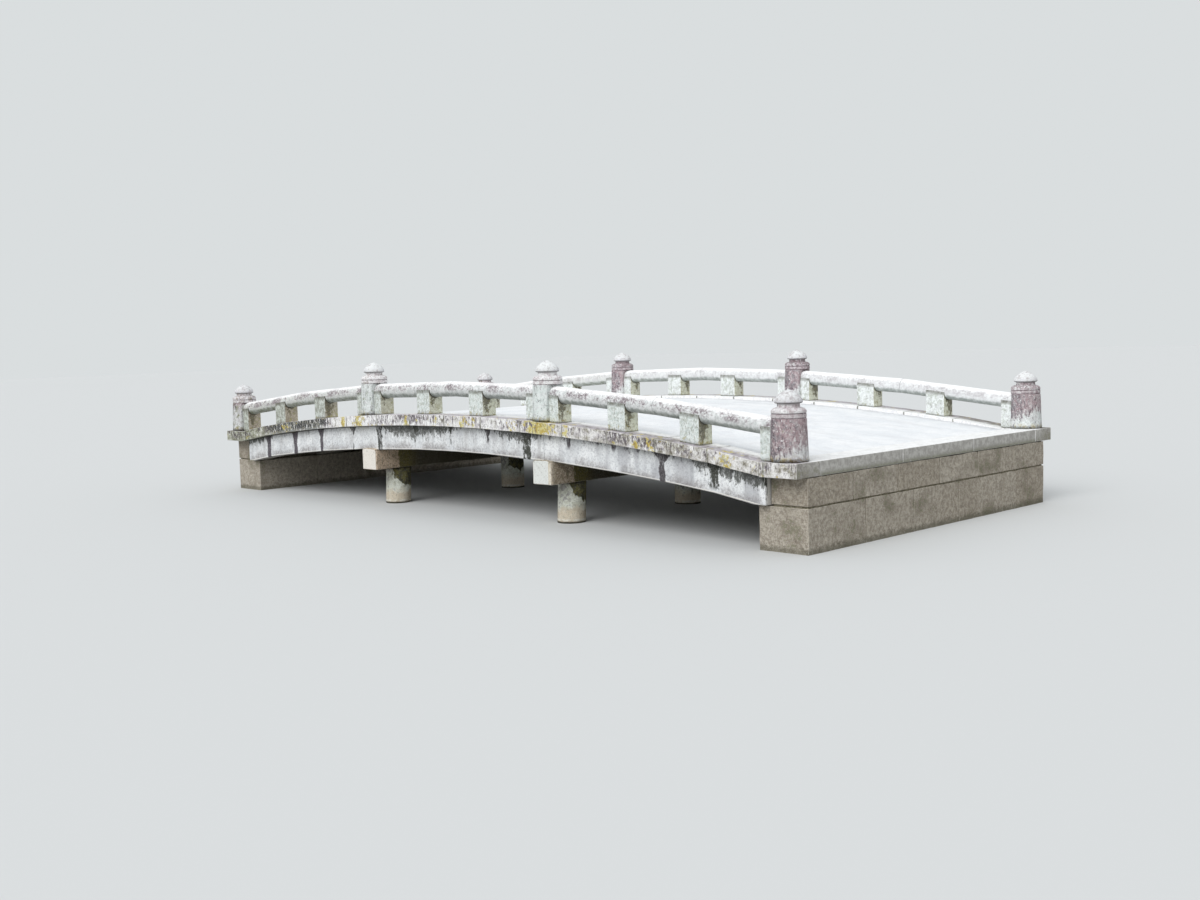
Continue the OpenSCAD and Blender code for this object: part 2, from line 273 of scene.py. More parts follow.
def bar(s, a0, a1, b0, b1, corner_r=(0.008,) * 4, end_r=0.006, fine=(4, 2), rough=0.001, seed=0, order="xyz",
        chip=0.008):
    """A stone from end to end along s: at each place a rectangle a0..a1 by b0..b1 with rounded corners
    (a1 b0, a1 b1, a0 b1, a0 b0). Each point is its corner's centre plus the radius times the normal. The
    faces wear back by up to three times `rough`, and the arrises lose small chips."""
    s, drawn = end_rounding(np.asarray(s, float), end_r)
    shares, normals, radii = ring_of(corner_r, *fine)
    low, high = [np.stack([np.broadcast_to(f(s) if callable(f) else f, s.shape) for f in pair],
                          axis=-1)[:, None] for pair in ((a0, b0), (a1, b1))]
    inwards = np.where(shares == 0, 1, np.where(shares == 1, -1, 0)) * radii[:, None]
    reach = radii - drawn[:, None]
    across = low + (high - low) * shares + inwards + reach[..., None] * normals
    p = np.concatenate([np.broadcast_to(s[:, None, None], across.shape[:2] + (1,)), across], axis=-1)
    arris = (np.abs(normals[:, 0] * normals[:, 1]) > 0.1) & (reach >= 0)
    lost = worn_back(p, rough, ((0.13, 1, seed), (0.05, 0.5, seed + 1)), 1.5)
    lost = lost - np.where(arris, chips(p, chip, 0.035, 0.45, seed + 2), 0)
    p[..., 1:] += lost[..., None] * normals
    return with_wear(p[..., [order.index(axis) for axis in "xyz"]], rim_wear(arris, drawn, end_r))


def uneven_ends(p, inner, rough, seed):
    """Adds rings inside both end faces of a bar that runs along y, each a scaled copy of the end ring, so
    that these faces are uneven too: they are pushed in by `rough` times a smooth random value."""
    caps = []
    for ring, way in ((p[:1], 1), (p[-1:], -1)):
        middle = ring[..., :3].mean(axis=1, keepdims=True)
        cap = np.concatenate([middle + (ring[..., :3] - middle) * share for share in inner])
        cap[..., 1] += way * rough * (1 + wander(cap, 0.13, seed)) * 0.8
        caps.append(with_wear(cap, 0))
    return np.concatenate([caps[0][::-1], p, caps[1]])


def tube_faces(n, m):
    """Faces of n rings of m points: quads from ring to ring and one face at each end."""
    i, j = np.meshgrid(np.arange(n - 1), np.arange(m), indexing="ij")
    k = (j + 1) % m
    quads = np.stack([i * m + j, i * m + k, (i + 1) * m + k, (i + 1) * m + j], axis=-1).reshape(-1, 4)
    return quads, np.arange(m)[::-1], (n - 1) * m + np.arange(m)


def volume_sign(p, quads, first, last):
    """Above 0 where a tube's faces point outwards: the sum of the triple products of their corners."""
    def triple(a, b, c):
        return np.einsum("ij,ij->", a, np.cross(b, c))

    a, b, c, d = [p[quads[:, k]] for k in range(4)]
    total = triple(a, b, c) + triple(a, c, d)
    for cap in (first, last):
        fan = p[cap]
        total += triple(np.broadcast_to(fan[0], fan[2:].shape), fan[1:-1], fan[2:])
    return total


def end_way(p, cap):
    """The direction in which an end face looks, from the sum of the cross products along its edge."""
    total = np.cross(p[cap], p[np.roll(cap, -1)]).sum(axis=0)
    return total / np.linalg.norm(total)


def joined(tubes):
    """Some closed tubes of rings as one mesh: points, wear, faces that point outwards, and of each flat end
    its points and the direction it looks in."""
    verts, worn, faces, flat, count = [], [], [], [], 0
    for rings in tubes:
        p = rings[..., :3].reshape(-1, 3)
        quads, first, last = tube_faces(*rings.shape[:2])
        if volume_sign(p, quads, first, last) < 0:
            quads, first, last = quads[:, ::-1], first[::-1], last[::-1]
        for ring, beside, cap in ((rings[0], rings[1], first), (rings[-1], rings[-2], last)):
            if np.abs(ring - beside)[:, :3].max() < FLAT_END:
                flat.append((cap + count, end_way(p, cap)))
        verts.append(p)
        worn.append(rings[..., 3].ravel())
        faces += (quads + count).tolist() + [(first + count).tolist(), (last + count).tolist()]
        count += len(p)
    return np.concatenate(verts), np.concatenate(worn), faces, flat


def keep_values(mesh, word, values):
    """Stores a number or a triple of numbers for each point of the mesh, for its material to read."""
    values = np.asarray(values, np.float32)
    kind, key = ("FLOAT", "value") if values.ndim == 1 else ("FLOAT_VECTOR", "vector")
    mesh.attributes.new(word, kind, "POINT").data.foreach_set(key, values.ravel())


def piece(name, tubes, nodes, finish, marks=None):
    """One object from closed tubes. Its points keep the direction they face, their depth below the kerb's
    top, their wear and, from the function `marks`, where they are stained."""
    verts, worn, faces, flat = joined(tubes)
    mesh = bpy.data.meshes.new(name)
    mesh.from_pydata(verts.tolist(), [], faces)
    mesh.shade_smooth()
    facing = np.empty(verts.size, np.float32)
    mesh.vertices.foreach_get("normal", facing)
    facing = facing.reshape(-1, 3)
    for cap, way in flat:
        facing[cap] = way
    values = {"facing": facing, "below": top_z(verts[:, 0]) - verts[:, 2], "worn": worn}
    if marks:
        values.update(marks(verts))
    for word in values:
        keep_values(mesh, word, values[word])
    mesh.materials.append(finish)
    obj = bpy.data.objects.new(name, mesh)
    bpy.context.scene.collection.objects.link(obj)
    obj.modifiers.new("even_faces", "WEIGHTED_NORMAL").keep_sharp = True
    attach(obj, "root")
    if nodes:
        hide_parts(*nodes)


# How the different stones are cut
KERB_CUT = {"fine": (8, 4), "rough": 0.0016}
GIRDER_RADII = (0.008, 0.006, 0.006, 0.016)
GIRDER_CUT = {"fine": (4, 6), "rough": 0.0014}
DECK_CUT = {"corner_r": (0.003,) * 4, "end_r": 0.001, "fine": (40, 1), "rough": 0.0012, "chip": 0}
SILL_CUT = {"fine": (8, 4), "rough": 0.0014}
BEAM_CUT = {"corner_r": (0.012,) * 4, "end_r": 0.01, "fine": (10, 5), "rough": 0.002}
BLOCK_CUT = {"corner_r": (0.009,) * 4, "end_r": 0.009, "fine": (12, 9), "rough": 0.004, "chip": 0.012}
MORTAR_CUT = {"corner_r": (0.0021,) * 4, "end_r": 0.002, "fine": (1, 1), "rough": 0}


# Kerbs

def kerb_stones(side):
    """The stones of one kerb: rectangles between the kerb's top and the line that runs its thickness below,
    from joint to joint, and a level stone at each end."""
    y0, y1 = side * PARAPET - KERB_WIDTH / 2, side * PARAPET + KERB_WIDTH / 2
    cuts = both_ways(KNOTS[:-1])
    stones = []
    for i, (a, b) in enumerate(zip(cuts[:-1], cuts[1:])):
        s = stations(a + JOINT / 2, b - JOINT / 2, 0.045)
        stones.append(bar(s, y0, y1, under_top(KERB_THICK), top_z, seed=KERB_SEED + 7 * i + side,
                          **KERB_CUT))
    for end in (-1, 1):
        a, b = sorted([end * (END_FROM + JOINT / 2), end * HALF])
        stones.append(bar(stations(a, b, 0.045), y0, y1, END_TOP - END_THICK, END_TOP,
                          seed=KERB_END_SEED + 3 * end + side, **KERB_CUT))
    return stones


def kerb_bed(side):
    """Mortar in the joints: a bar inside the stones, a little back from their faces."""
    reach = KERB_WIDTH / 2 - MORTAR_BACK
    s = np.sort(np.append(CAMBER_BREAKS, [-HALF + 0.1, HALF - 0.1]))
    return bar(s, side * PARAPET - reach, side * PARAPET + reach, under_top(KERB_THICK - MORTAR_BACK),
               under_top(MORTAR_BACK), **MORTAR_CUT)


# Girders, deck, sills

SPANS = [(-GIRDER_END, -PIER_X - JOINT / 2), (-PIER_X + JOINT / 2, PIER_X - JOINT / 2),
         (PIER_X + JOINT / 2, GIRDER_END)]


def outer_girder(side, span):
    """A rectangle between the girders' underside and the kerb's, from pier to pier; its lower outer arris is
    the most worn one."""
    y0, y1 = sorted([side * GIRDER_FACE, side * (GIRDER_FACE - GIRDER_WIDTH)])
    radii = GIRDER_RADII if side < 0 else GIRDER_RADII[::-1]
    s = stations(*SPANS[span], 0.06, np.concatenate([CAMBER_BREAKS, SOFFIT_BREAKS]))
    return bar(s, y0, y1, soffit_z, under_top(KERB_THICK + HAIR), corner_r=radii,
               seed=GIRDER_SEED + 5 * span + side, **GIRDER_CUT)


def deck_slab(span):
    """A rectangle between the kerb's underside and the deck's line, from pier to pier."""
    cuts = [-SILL_FROM, -PIER_X, PIER_X, SILL_FROM]
    s = stations(cuts[span] + DECK_GAP, cuts[span + 1] - DECK_GAP, 0.12, CAMBER_BREAKS)
    return bar(s, -DECK_HALF + HAIR, DECK_HALF - HAIR, under_top(KERB_THICK - HAIR), deck_z,
               seed=DECK_SEED + span, **DECK_CUT)


def sill_stones(end):
    """Three level stones across the end of the deck."""
    a, b = sorted([end * SILL_FROM, end * HALF])
    cuts = np.linspace(-DECK_HALF, DECK_HALF, 4)
    return [bar(stations(c + SILL_GAP, d - SILL_GAP, 0.06), a, b, END_TOP - END_THICK, END_TOP,
                seed=SILL_SEED + 9 * k + end, order="yxz", **SILL_CUT)
            for k, (c, d) in enumerate(zip(cuts[:-1], cuts[1:]))]


# Piers and abutments

HEAD_FROM, HEAD_FULL = GIRDER_FACE + 0.0015, GIRDER_FACE + 0.006


def cap_beam(end):
    """A rectangle with worn corners, carried across the bridge. On the heads, in front of the girders, the
    width follows a quarter circle at the upright corners, and the top rises by 1 less the cube of the share
    across."""
    x, half = end * PIER_X, CAP_WIDTH / 2
    heads = np.append([HEAD_FROM, HEAD_FULL], CAP_HALF - np.array([HEAD_R, 0.022, 0.015]))
    s = np.sort(np.concatenate([stations(-GIRDER_FACE, GIRDER_FACE, 0.07), heads, -heads]))
    s = np.concatenate([[-CAP_HALF], s, [CAP_HALF]])
    p = bar(s, x - half, x + half, COLUMN_TOP, PIER_SEAT - HAIR, seed=BEAM_SEED + end, order="yxz",
            **BEAM_CUT)
    away, reach = p[..., 0] - x, np.abs(p[..., 1])
    into = np.clip(CAP_HALF - reach, 0, HEAD_R)
    limit = half - HEAD_R + np.sqrt(HEAD_R ** 2 - (HEAD_R - into) ** 2)
    away = away * limit / half
    p[..., 0] = x + away
    outer = np.clip((reach - HEAD_FROM) / (HEAD_FULL - HEAD_FROM), 0, 1)
    upper = np.clip((p[..., 2] - PIER_SEAT) / 0.06 + 1, 0, 1)
    p[..., 2] += HEAD_RISE * outer * upper * (1 - np.abs(away / half) ** 3)
    return p


def column(end, side):
    """A round column: circles carried up, whose middles lean in from the foot; the middle one is upright."""
    z = np.linspace(0, COLUMN_TOP - HAIR, 14)
    turn = np.linspace(0, 2 * math.pi, 64, endpoint=False)
    p = np.empty((len(z), len(turn), 3))
    p[..., 0] = end * PIER_X + COLUMN_R * np.cos(turn)
    p[..., 1] = side * (COLUMN_Y + BATTER * (1 - z / COLUMN_TOP))[:, None] + COLUMN_R * np.sin(turn)
    p[..., 2] = z[:, None]
    lost = worn_back(p, 0.0015, ((0.12, 1, COLUMN_SEED + 2 * end + side),))
    p[..., 0] += lost * np.cos(turn)
    p[..., 1] += lost * np.sin(turn)
    return with_wear(p, 0.0)


WALL_TOP = END_TOP - END_THICK


def abutment_stones(end):
    """Two courses of large stones across the abutment, five below and six above, each through its whole
    length. Their joints are even places across, shifted by a sine."""
    stones = []
    courses = ((ABUTMENT_FACE, 0, SEAT_Z - BLOCK_GAP, 5),
               (GIRDER_END + JOINT, SEAT_Z + BLOCK_GAP, WALL_TOP, 6))
    for row, (inner, low, high, count) in enumerate(courses):
        cuts = np.linspace(-ABUTMENT_HALF, ABUTMENT_HALF, count + 1)
        cuts[1:-1] += 0.08 * np.sin(7.0 * cuts[1:-1] + 2 * row + end)
        a, b = sorted([end * inner, end * HALF])
        for k, (c, d) in enumerate(zip(cuts[:-1], cuts[1:])):
            c, d = c + (BLOCK_GAP if k else 0), d - (BLOCK_GAP if k < count - 1 else 0)
            seed = ABUTMENT_SEED + 40 * row + 3 * k + end
            stone = bar(stations(c, d, 0.05), a, b, low, high, seed=seed, order="yxz", **BLOCK_CUT)
            stone = uneven_ends(stone, (0.97, 0.86, 0.72, 0.58, 0.44, 0.3, 0.16), 0.004, seed)
            stone[..., 2] = np.where(stone[..., 2] < 0.02, 0.0, stone[..., 2])
            stones.append(stone)
    return stones


def abutment_bed(end):
    """Mortar in the joints of the abutment: a block behind the faces of each course."""
    beds = []
    for back, inner, low, high in ((0.018, ABUTMENT_FACE, 0, SEAT_Z),
                                   (0.021, GIRDER_END + JOINT, SEAT_Z - 0.05, WALL_TOP)):
        a, b = sorted([end * (inner + back), end * (HALF - back)])
        s = np.array([-ABUTMENT_HALF + back, ABUTMENT_HALF - back])
        beds.append(bar(s, a, b, low, high - back, order="yxz", **MORTAR_CUT))
    return beds


# Parapets

def quarter(r0, r1, z0, z1, bend_r=1.0, bend_z=1.0, steps=12):
    """Points of a bent quarter ellipse, from radius r1 at height z0 to radius r0 at height z1."""
    turn = np.linspace(0, math.pi / 2, steps + 1)
    radius = r0 + (r1 - r0) * np.cos(turn) ** bend_r
    height = z0 + (z1 - z0) * np.sin(turn) ** bend_z
    return np.stack([radius, height], axis=1)


def groove(z):
    """A worn groove round the collar: radius and height of its points, from 9 mm below z to 9 mm above."""
    up = np.array([0.003, 0.0045, 0.007, 0.009])
    inwards = np.array([GROOVE_DEPTH, 0.8 * GROOVE_DEPTH, 0.001, 0.0])
    return np.stack([COLLAR_R - np.append(inwards[::-1], inwards), z + np.append(-up[::-1], up)], axis=1)


def post_outline():
    """Radius and height of the main post, from its foot to its tip."""
    shaft_h = np.linspace(0, 1, 9)[:-1]
    shaft = np.stack([SHAFT_R + (SHAFT_TOP_R - SHAFT_R) * shaft_h, (LOWER_GROOVE - 0.012) * shaft_h], axis=1)
    low = groove(LOWER_GROOVE)
    low[0, 0] = low[1, 0] = COLLAR_R
    seat = [(COLLAR_R - GROOVE_DEPTH, LOWER_GROOVE - 0.0001), (COLLAR_R - GROOVE_DEPTH, LOWER_GROOVE)]
    neck_z = COLLAR_H + SHOULDER_H
    return np.concatenate([
        shaft, [(SHAFT_TOP_R, LOWER_GROOVE - 0.011)], low[:4], seat, low[4:],
        [(COLLAR_R, (LOWER_GROOVE + UPPER_GROOVE) / 2)], groove(UPPER_GROOVE),
        quarter(NECK_R, COLLAR_R, COLLAR_H, neck_z, steps=9),
        [(NECK_R, neck_z + 0.006), (NECK_R - 0.001, CAP_LOW - 0.008), (NECK_R + 0.003, CAP_LOW - 0.001)],
        quarter(CAP_LOW_R, CAP_R, CAP_WIDE, CAP_LOW, steps=5)[::-1],
        quarter(0.0, CAP_R, CAP_WIDE, POST_H, 1.54, 1.11, 24)[1:-1], [(0.001, POST_H)]])


def main_post(k, y, seed):
    """An outline of radius and height turned about the post's axis; its foot follows the kerb's top.
    Below the lower groove the shaft is cut flat on each side where a rail meets it."""
    x = POST_X[k]
    r, h = post_outline().T
    turn = np.linspace(0, 2 * math.pi, 120, endpoint=False)
    dx = r[:, None] * np.cos(turn)
    dy = r[:, None] * np.sin(turn)
    cut = (h < LOWER_GROOVE - 0.00005)[:, None]
    dx = np.where(cut & (k > 0), np.maximum(dx, -FLAT_IN), dx)
    dx = np.where(cut & (k < len(POST_X) - 1), np.minimum(dx, FLAT_IN), dx)
    p = np.stack([x + dx, y + dy, float(top_z(x)) + np.broadcast_to(h[:, None], dx.shape)], axis=-1)
    p[0, :, 2] = top_z(p[0, :, 0])
    p[1, :, 2] = top_z(p[1, :, 0]) + h[1]
    lost = worn_back(p, 0.0014, ((0.09, 1, seed), (0.03, 0.4, seed + 1)))
    edge = np.isin(np.round(r, 4), np.round([SHAFT_TOP_R, COLLAR_R], 4))[:, None]
    lost = lost - np.where(edge, chips(p, 0.006, 0.04, 0.4, seed + 2), 0)
    lost = lost * np.clip(r[:, None] / 0.06, 0, 1)
    p[..., 0] += lost * np.cos(turn) * (np.abs(np.abs(dx) - FLAT_IN) > 1e-6)
    p[..., 1] += lost * np.sin(turn)
    worn = edge * 0.6 - 1.0 * (np.abs(r - COLLAR_R + GROOVE_DEPTH) < 0.0005)[:, None]
    return with_wear(p, np.where(cut, 0.0, worn))


def rail_stone(bay, end, y):
    """Circles carried along the rail's line, from the main post's flat to the joint at mid-bay."""
    low_x = rail_line(bay, end)[0]
    mid_x = (POST_X[bay] + POST_X[bay + 1]) / 2
    a, b = sorted([low_x - end * (FLAT_IN + AT_FLAT), mid_x + end * JOINT / 2])
    s, drawn = end_rounding(stations(a, b, 0.05), 0.003)
    turn = np.linspace(0, 2 * math.pi, 48, endpoint=False)
    r = (RAIL_R - drawn)[:, None]
    p = np.stack(np.broadcast_arrays(s[:, None], y + r * np.cos(turn),
                                     rail_z(bay, end, s)[:, None] + r * np.sin(turn)), axis=-1).copy()
    lost = worn_back(p, 0.0013, ((0.16, 1, RAIL_SEED + 10 * bay + 3 * end),
                                 (0.05, 0.4, RAIL_SEED + 1 + bay)))
    p[..., 1] += lost * np.cos(turn)
    p[..., 2] += lost * np.sin(turn)
    return with_wear(p, 1.0 * (drawn > 0.0001)[:, None])


def rows(*columns):
    """Rows of a table from its columns, which are arrays of one length or single numbers."""
    return np.stack(np.broadcast_arrays(*columns), axis=-1)


ARRIS_R, LAND = 0.006, 0.004


def saddle_outline():
    """Across a short post: along the foot, up one side, in on the land, round the hollow, and back down.
    Of each point: how far it is from the middle, its share of the height, what is added to that height,
    and the two parts of its outward normal."""
    half, r, hollow = SHORT_DEPTH / 2, ARRIS_R, RAIL_R + HAIR
    foot = np.linspace(-1, 1, 7)[1:-1]
    up = np.linspace(0, 1, 7)
    turn = np.linspace(0, math.pi, 25)
    bend = np.linspace(0, math.pi / 2, 4)[1:]
    side = rows(half, up, -r * up, 1.0, 0.0)
    corner = rows(half - r + r * np.cos(bend), 1.0, -r + r * np.sin(bend), np.cos(bend), np.sin(bend))
    rise = np.concatenate([side, corner])
    back = rise[::-1] * [-1, 1, 1, -1, 1]
    round_rail = rows(hollow * np.cos(turn), 1.0, -hollow * np.sin(turn), -np.cos(turn), np.sin(turn))
    return np.concatenate([rows(foot * half, 0.0, 0.0, 0.0, -1.0), rise, round_rail, back]).T


def saddle(bay, end, a, b, y, seed):
    """A block on the kerb, hollowed to a half round for the rail: its outline is carried from a to b,
    between the kerb's top and the rail's axis."""
    across, share, drop, na, nb = saddle_outline()
    s, drawn = end_rounding(stations(a, b, 0.035, CAMBER_BREAKS), LAND)
    low, high = top_z(s)[:, None], rail_z(bay, end, s)[:, None]
    t = drawn[:, None]
    p = np.stack(np.broadcast_arrays(s[:, None], y + across - t * na, low + (high - low) * share + drop
                                     - np.where(nb < -0.9, 0, t) * nb), axis=-1).copy()
    outside = np.abs(across) > RAIL_R + HAIR - 0.02
    p[..., 1] += worn_back(p, 0.0012, ((0.08, 1, seed), (0.03, 0.5, seed + 1))) * outside * na
    arris = (np.abs(na * nb) > 0.1) & (np.abs(across) > RAIL_R + HAIR + 0.0001)
    return with_wear(p, rim_wear(arris, drawn, LAND))


CLEAR = BAY - 2 * HALF_REACH
FIRST_SHORT = HALF_REACH + (CLEAR - 2 * SHORT_LENGTH) / 3 + SHORT_LENGTH / 2


def saddles(bay, y):
    """A bay's two short posts and the half post against each main post, with equal gaps between them."""
    blocks = []
    for end in (-1, 1):
        low_x = rail_line(bay, end)[0]
        x = low_x - end * FIRST_SHORT
        seed = 20 * bay + 5 * end
        blocks.append(saddle(bay, end, x - SHORT_LENGTH / 2, x + SHORT_LENGTH / 2, y, SHORT_SEED + seed))
        a, b = sorted([low_x - end * (FLAT_IN + AT_FLAT), low_x - end * HALF_REACH])
        blocks.append(saddle(bay, end, a, b, y, HALF_SEED + seed))
    return blocks


# Stone finishes, made of nodes

def linear(colour):
    """A colour written 0 to 255 as in a picture, as the values that a shader takes."""
    return [((c / 255 + 0.055) / 1.055) ** 2.4 for c in colour] + [1.0]


class Value:
    """A number worked out by a material's nodes, so that sums, products and steps are written plainly."""

    def __init__(self, look, socket):
        self.look, self.socket = look, socket

    def __add__(self, other):
        return self.look.math("ADD", self, other)

    def __sub__(self, other):
        return self.look.math("SUBTRACT", self, other)

    def __rsub__(self, other):
        return self.look.math("SUBTRACT", other, self)

    def __neg__(self):
        return self.look.math("SUBTRACT", 0.0, self)

    def __mul__(self, other):
        return self.look.math("MULTIPLY", self, other)

    __radd__, __rmul__ = __add__, __mul__

    def size(self):
        return self.look.math("ABSOLUTE", self)

    def sign(self):
        return self.look.math("SIGN", self)

    def whole(self):
        return self.look.math("FLOOR", self)

    def step(self, low, high):
        """0 at `low` and 1 at `high`, with an even curve between."""
        return self.look.node("MapRange", {0: self, 1: low, 2: high}, interpolation_type="SMOOTHSTEP")


class Look:
    """One stone's material. `coat` lays a colour over what is there, by a share from 0 to 1.
    Where `kept` is true, it reads the values that `piece` keeps at a mesh's points."""

    def __init__(self, name, kept=True):
        self.material = bpy.data.materials.new(name)
        self.material.use_nodes = True
        self.tree = self.material.node_tree
        self.shader = self.tree.nodes["Principled BSDF"]
        self.shader.inputs["Specular IOR Level"].default_value = 0.25
        self.place = self.tree.nodes.new("ShaderNodeTexCoord").outputs["Object"]
        self.x, self.y, self.z = self.split(self.place)
        if kept:
            self.below, self.worn = self.read("below"), self.read("worn")
            self.out_x, self.out_y, self.out_z = self.triple("facing")
        self.bump = None

    def node(self, kind, inputs, out=0, **settings):
        """A node of this kind, its inputs set or linked; gives its output number `out`."""
        node = self.tree.nodes.new("ShaderNode" + kind)
        for key, value in settings.items():
            setattr(node, key, value)
        for key, value in inputs.items():
            if isinstance(value, Value):
                value = value.socket
            if isinstance(value, bpy.types.NodeSocket):
                self.tree.links.new(value, node.inputs[key])
            else:
                node.inputs[key].default_value = value
        return Value(self, node.outputs[out])

    def math(self, how, *values):
        return self.node("Math", dict(enumerate(values)), operation=how)

    def split(self, vector):
        node = self.tree.nodes.new("ShaderNodeSeparateXYZ")
        self.tree.links.new(vector, node.inputs[0])
        return [Value(self, out) for out in node.outputs]

    def read(self, word):
        return self.node("Attribute", {}, "Fac", attribute_name=word)

    def triple(self, word):
        return self.split(self.node("Attribute", {}, "Vector", attribute_name=word).socket)

    def noise(self, size, detail=3.0, rough=0.55, stretch=(1, 1, 1), shift=0.0):
        """Cloudy values about 0.5 with lumps of `size` metres, longer along an axis of stretch below 1."""
        where = self.node("VectorMath", {0: self.place, 1: stretch, 2: (shift, shift * 1.7, shift * 0.6)},
                          operation="MULTIPLY_ADD")
        inputs = {"Vector": where, "Scale": 1 / size, "Detail": detail, "Roughness": rough}
        return self.node("TexNoise", inputs)

    def cells(self, size):
        """Distance to the nearest of scattered points that are `size` apart."""
        return self.node("TexVoronoi", {"Vector": self.place, "Scale": 1 / size})

    def chance(self, value):
        """One random number from 0 to 1 for each whole value."""
        return self.node("TexWhiteNoise", {"W": value}, noise_dimensions="1D")

    def mix(self, share, first, second, how="MIX"):
        first, second = [linear(c) if isinstance(c, tuple) else c for c in (first, second)]
        return self.node("Mix", {0: share, 6: first, 7: second}, 2, data_type="RGBA", blend_type=how)

    def ground(self, share, first, second):
        self.colour = self.mix(share, first, second)

    def coat(self, share, colour, how="MIX"):
        self.colour = self.mix(share, self.colour, colour, how)

    def relief(self, height, depth):
        """Raises the surface by up to `depth` metres where the height is 1."""
        inputs = {"Height": height, "Distance": depth, "Strength": 1.0}
        if self.bump:
            inputs["Normal"] = self.bump
        self.bump = self.node("Bump", inputs)

    def grain(self, dark, light, pits=0.0012):
        """The stone's own grain: dark and light crystals of a few millimetres, coarser flecks, and pits."""
        fine = self.noise(0.009, 3.0, 0.7, shift=3.1)
        flecks = self.noise(0.022, 3.0, 0.65, shift=7.7)
        self.coat(fine.step(0.54, 0.68) * dark, (120, 117, 114))
        self.coat(fine.step(0.46, 0.34) * light, (244, 243, 240))
        self.coat(flecks.step(0.58, 0.72) * dark, (128, 122, 122))
        self.relief(fine, pits)
        self.relief(flecks, pits * 1.2)

    def finish(self, grain, lumps, depth, rough):
        """Lays the grain, raises the lumps, and joins colour, roughness and relief to the shader."""
        self.grain(*grain)
        self.relief(lumps, depth)
        for value, word in ((self.colour, "Base Color"), (rough, "Roughness"), (self.bump, "Normal")):
            self.tree.links.new(value.socket, self.shader.inputs[word])
        return self.material

    def at_post(self):
        """1 at the plane where a main post's flat meets its half posts and rails, and 0 from 11 mm off."""
        off = ((self.x.size() - BAY).size() - BAY / 2).size()
        return (off - FLAT_IN).size().step(0.011, 0.002)

    def from_joint(self, x):
        """Distance along the bridge from x to the nearest joint of the kerb."""
        return (self.math("FRACT", x * (1 / STONE) + 0.5) - 0.5).size() * STONE


def kerb_look():
    """Dressed granite: grey and purple streaks, black ticks, moss, yellow lichen, dark joints."""
    look = Look("kerb_granite")
    moss, dark, yellow = look.triple("stain")
    up = look.out_z.step(0.5, 0.9)
    outer = look.y.size().step(PARAPET - 0.1, PARAPET + 0.1)
    side = (1.0 - up) * outer
    high = 1.0 - look.below * (1 / KERB_THICK)
    mottle = look.noise(0.06, 5.0, 0.7)
    run = look.noise(0.05, 5.0, 0.72, stretch=(1, 1, 0.45), shift=1.3)
    ticks = look.noise(0.034, 5.0, 0.7, stretch=(1, 1, 0.36), shift=5.2)
    specks = look.noise(0.016, 3.0, 0.7, shift=3.7)
    patch = look.noise(0.09, 5.0, 0.68, shift=9.4)
    moist = look.noise(0.11, 5.0, 0.68, shift=2.2)
    cluster = look.noise(0.3, 2.0, shift=6.6)
    # Pale ground, and a shade of its own for each stone
    look.ground(mottle.step(0.36, 0.56), look.mix(outer, (226, 226, 228), (214, 212, 212)), (247, 247, 246))
    stone = (look.x * (1 / STONE) + look.y.step(-0.1, 0.1) * 40.0).whole()
    look.coat(look.chance(stone) * 0.3 * outer, (208, 202, 194), "MULTIPLY")
    # Wet grey runs and purple streaks
    wet = look.mix(run.step(0.42, 0.58), (80, 90, 91), (150, 156, 154))
    look.coat(side * dark.step(0.5, 0.95) * 0.9, wet)
    look.coat((run + (cluster - 0.5) * 0.4).step(0.48, 0.58) * side * (dark * 0.6 + 0.16), (150, 137, 150))
    # Moss
    green = look.mix(moss.step(0.6, 0.9), (142, 136, 118), (138, 144, 110))
    look.coat((moist + moss * 0.3).step(0.54, 0.76) * outer * 0.85, green)
    look.coat((moist + moss * 0.24).step(0.62, 0.76) * mottle.step(0.6, 0.42) * outer * 0.8, (88, 84, 68))
    # Dark and pale ticks, and specks
    black = look.mix(dark.step(0.5, 0.8), (70, 59, 70), (34, 37, 38))
    tick = (ticks + dark * 0.17 + (cluster - 0.5) * 0.36).step(0.59, 0.63)
    tick = tick * (high + run * 0.7).step(0.4, 0.75)
    look.coat(tick * side * (dark * 0.2 + 0.76), black)
    look.coat(ticks.step(0.43, 0.38) * side * (dark * 0.8 + 0.25), (248, 249, 248))
    look.coat(specks.step(0.58, 0.66) * side * 0.5, (104, 94, 98))
    look.coat(specks.step(0.42, 0.34) * side * (dark + moss).step(0.2, 0.9) * 0.7, (238, 238, 234))
    # The top
    look.coat(up * outer * 0.45, (190, 183, 194))
    look.coat(up * outer * (mottle + 0.06).step(0.48, 0.58) * 0.65, (150, 139, 152))
    look.coat(up * outer * (moist + moss * 0.2).step(0.6, 0.74) * 0.6, (112, 110, 84))
    # Yellow lichen
    lichen = look.mix(mottle.step(0.44, 0.56), (190, 166, 58), (214, 206, 140))
    crust = patch + yellow * 0.26
    look.coat(crust.step(0.63, 0.68) * outer * 0.9, lichen)
    look.coat(crust.step(0.66, 0.72) * ticks.step(0.53, 0.6) * side * 0.8, (98, 80, 84))
    # Joints, arrises and end faces
    look.coat(look.from_joint(look.x).step(0.02, 0.004) * (run.step(0.3, 0.6) * 0.85), (70, 70, 44))
    look.coat(look.worn * outer * mottle.step(0.66, 0.4) * 0.7, (236, 236, 232))
    end = look.out_x.size().step(0.5, 0.9)
    look.coat(end * 0.85, look.mix(mottle.step(0.4, 0.6), (146, 142, 135), (184, 181, 175)))
    look.coat(end * (mottle - high * 0.2).step(0.4, 0.52) * 0.6, (104, 102, 76))
    return look.finish((0.35, 0.3), mottle, 0.004, 0.97 - mottle * 0.2)


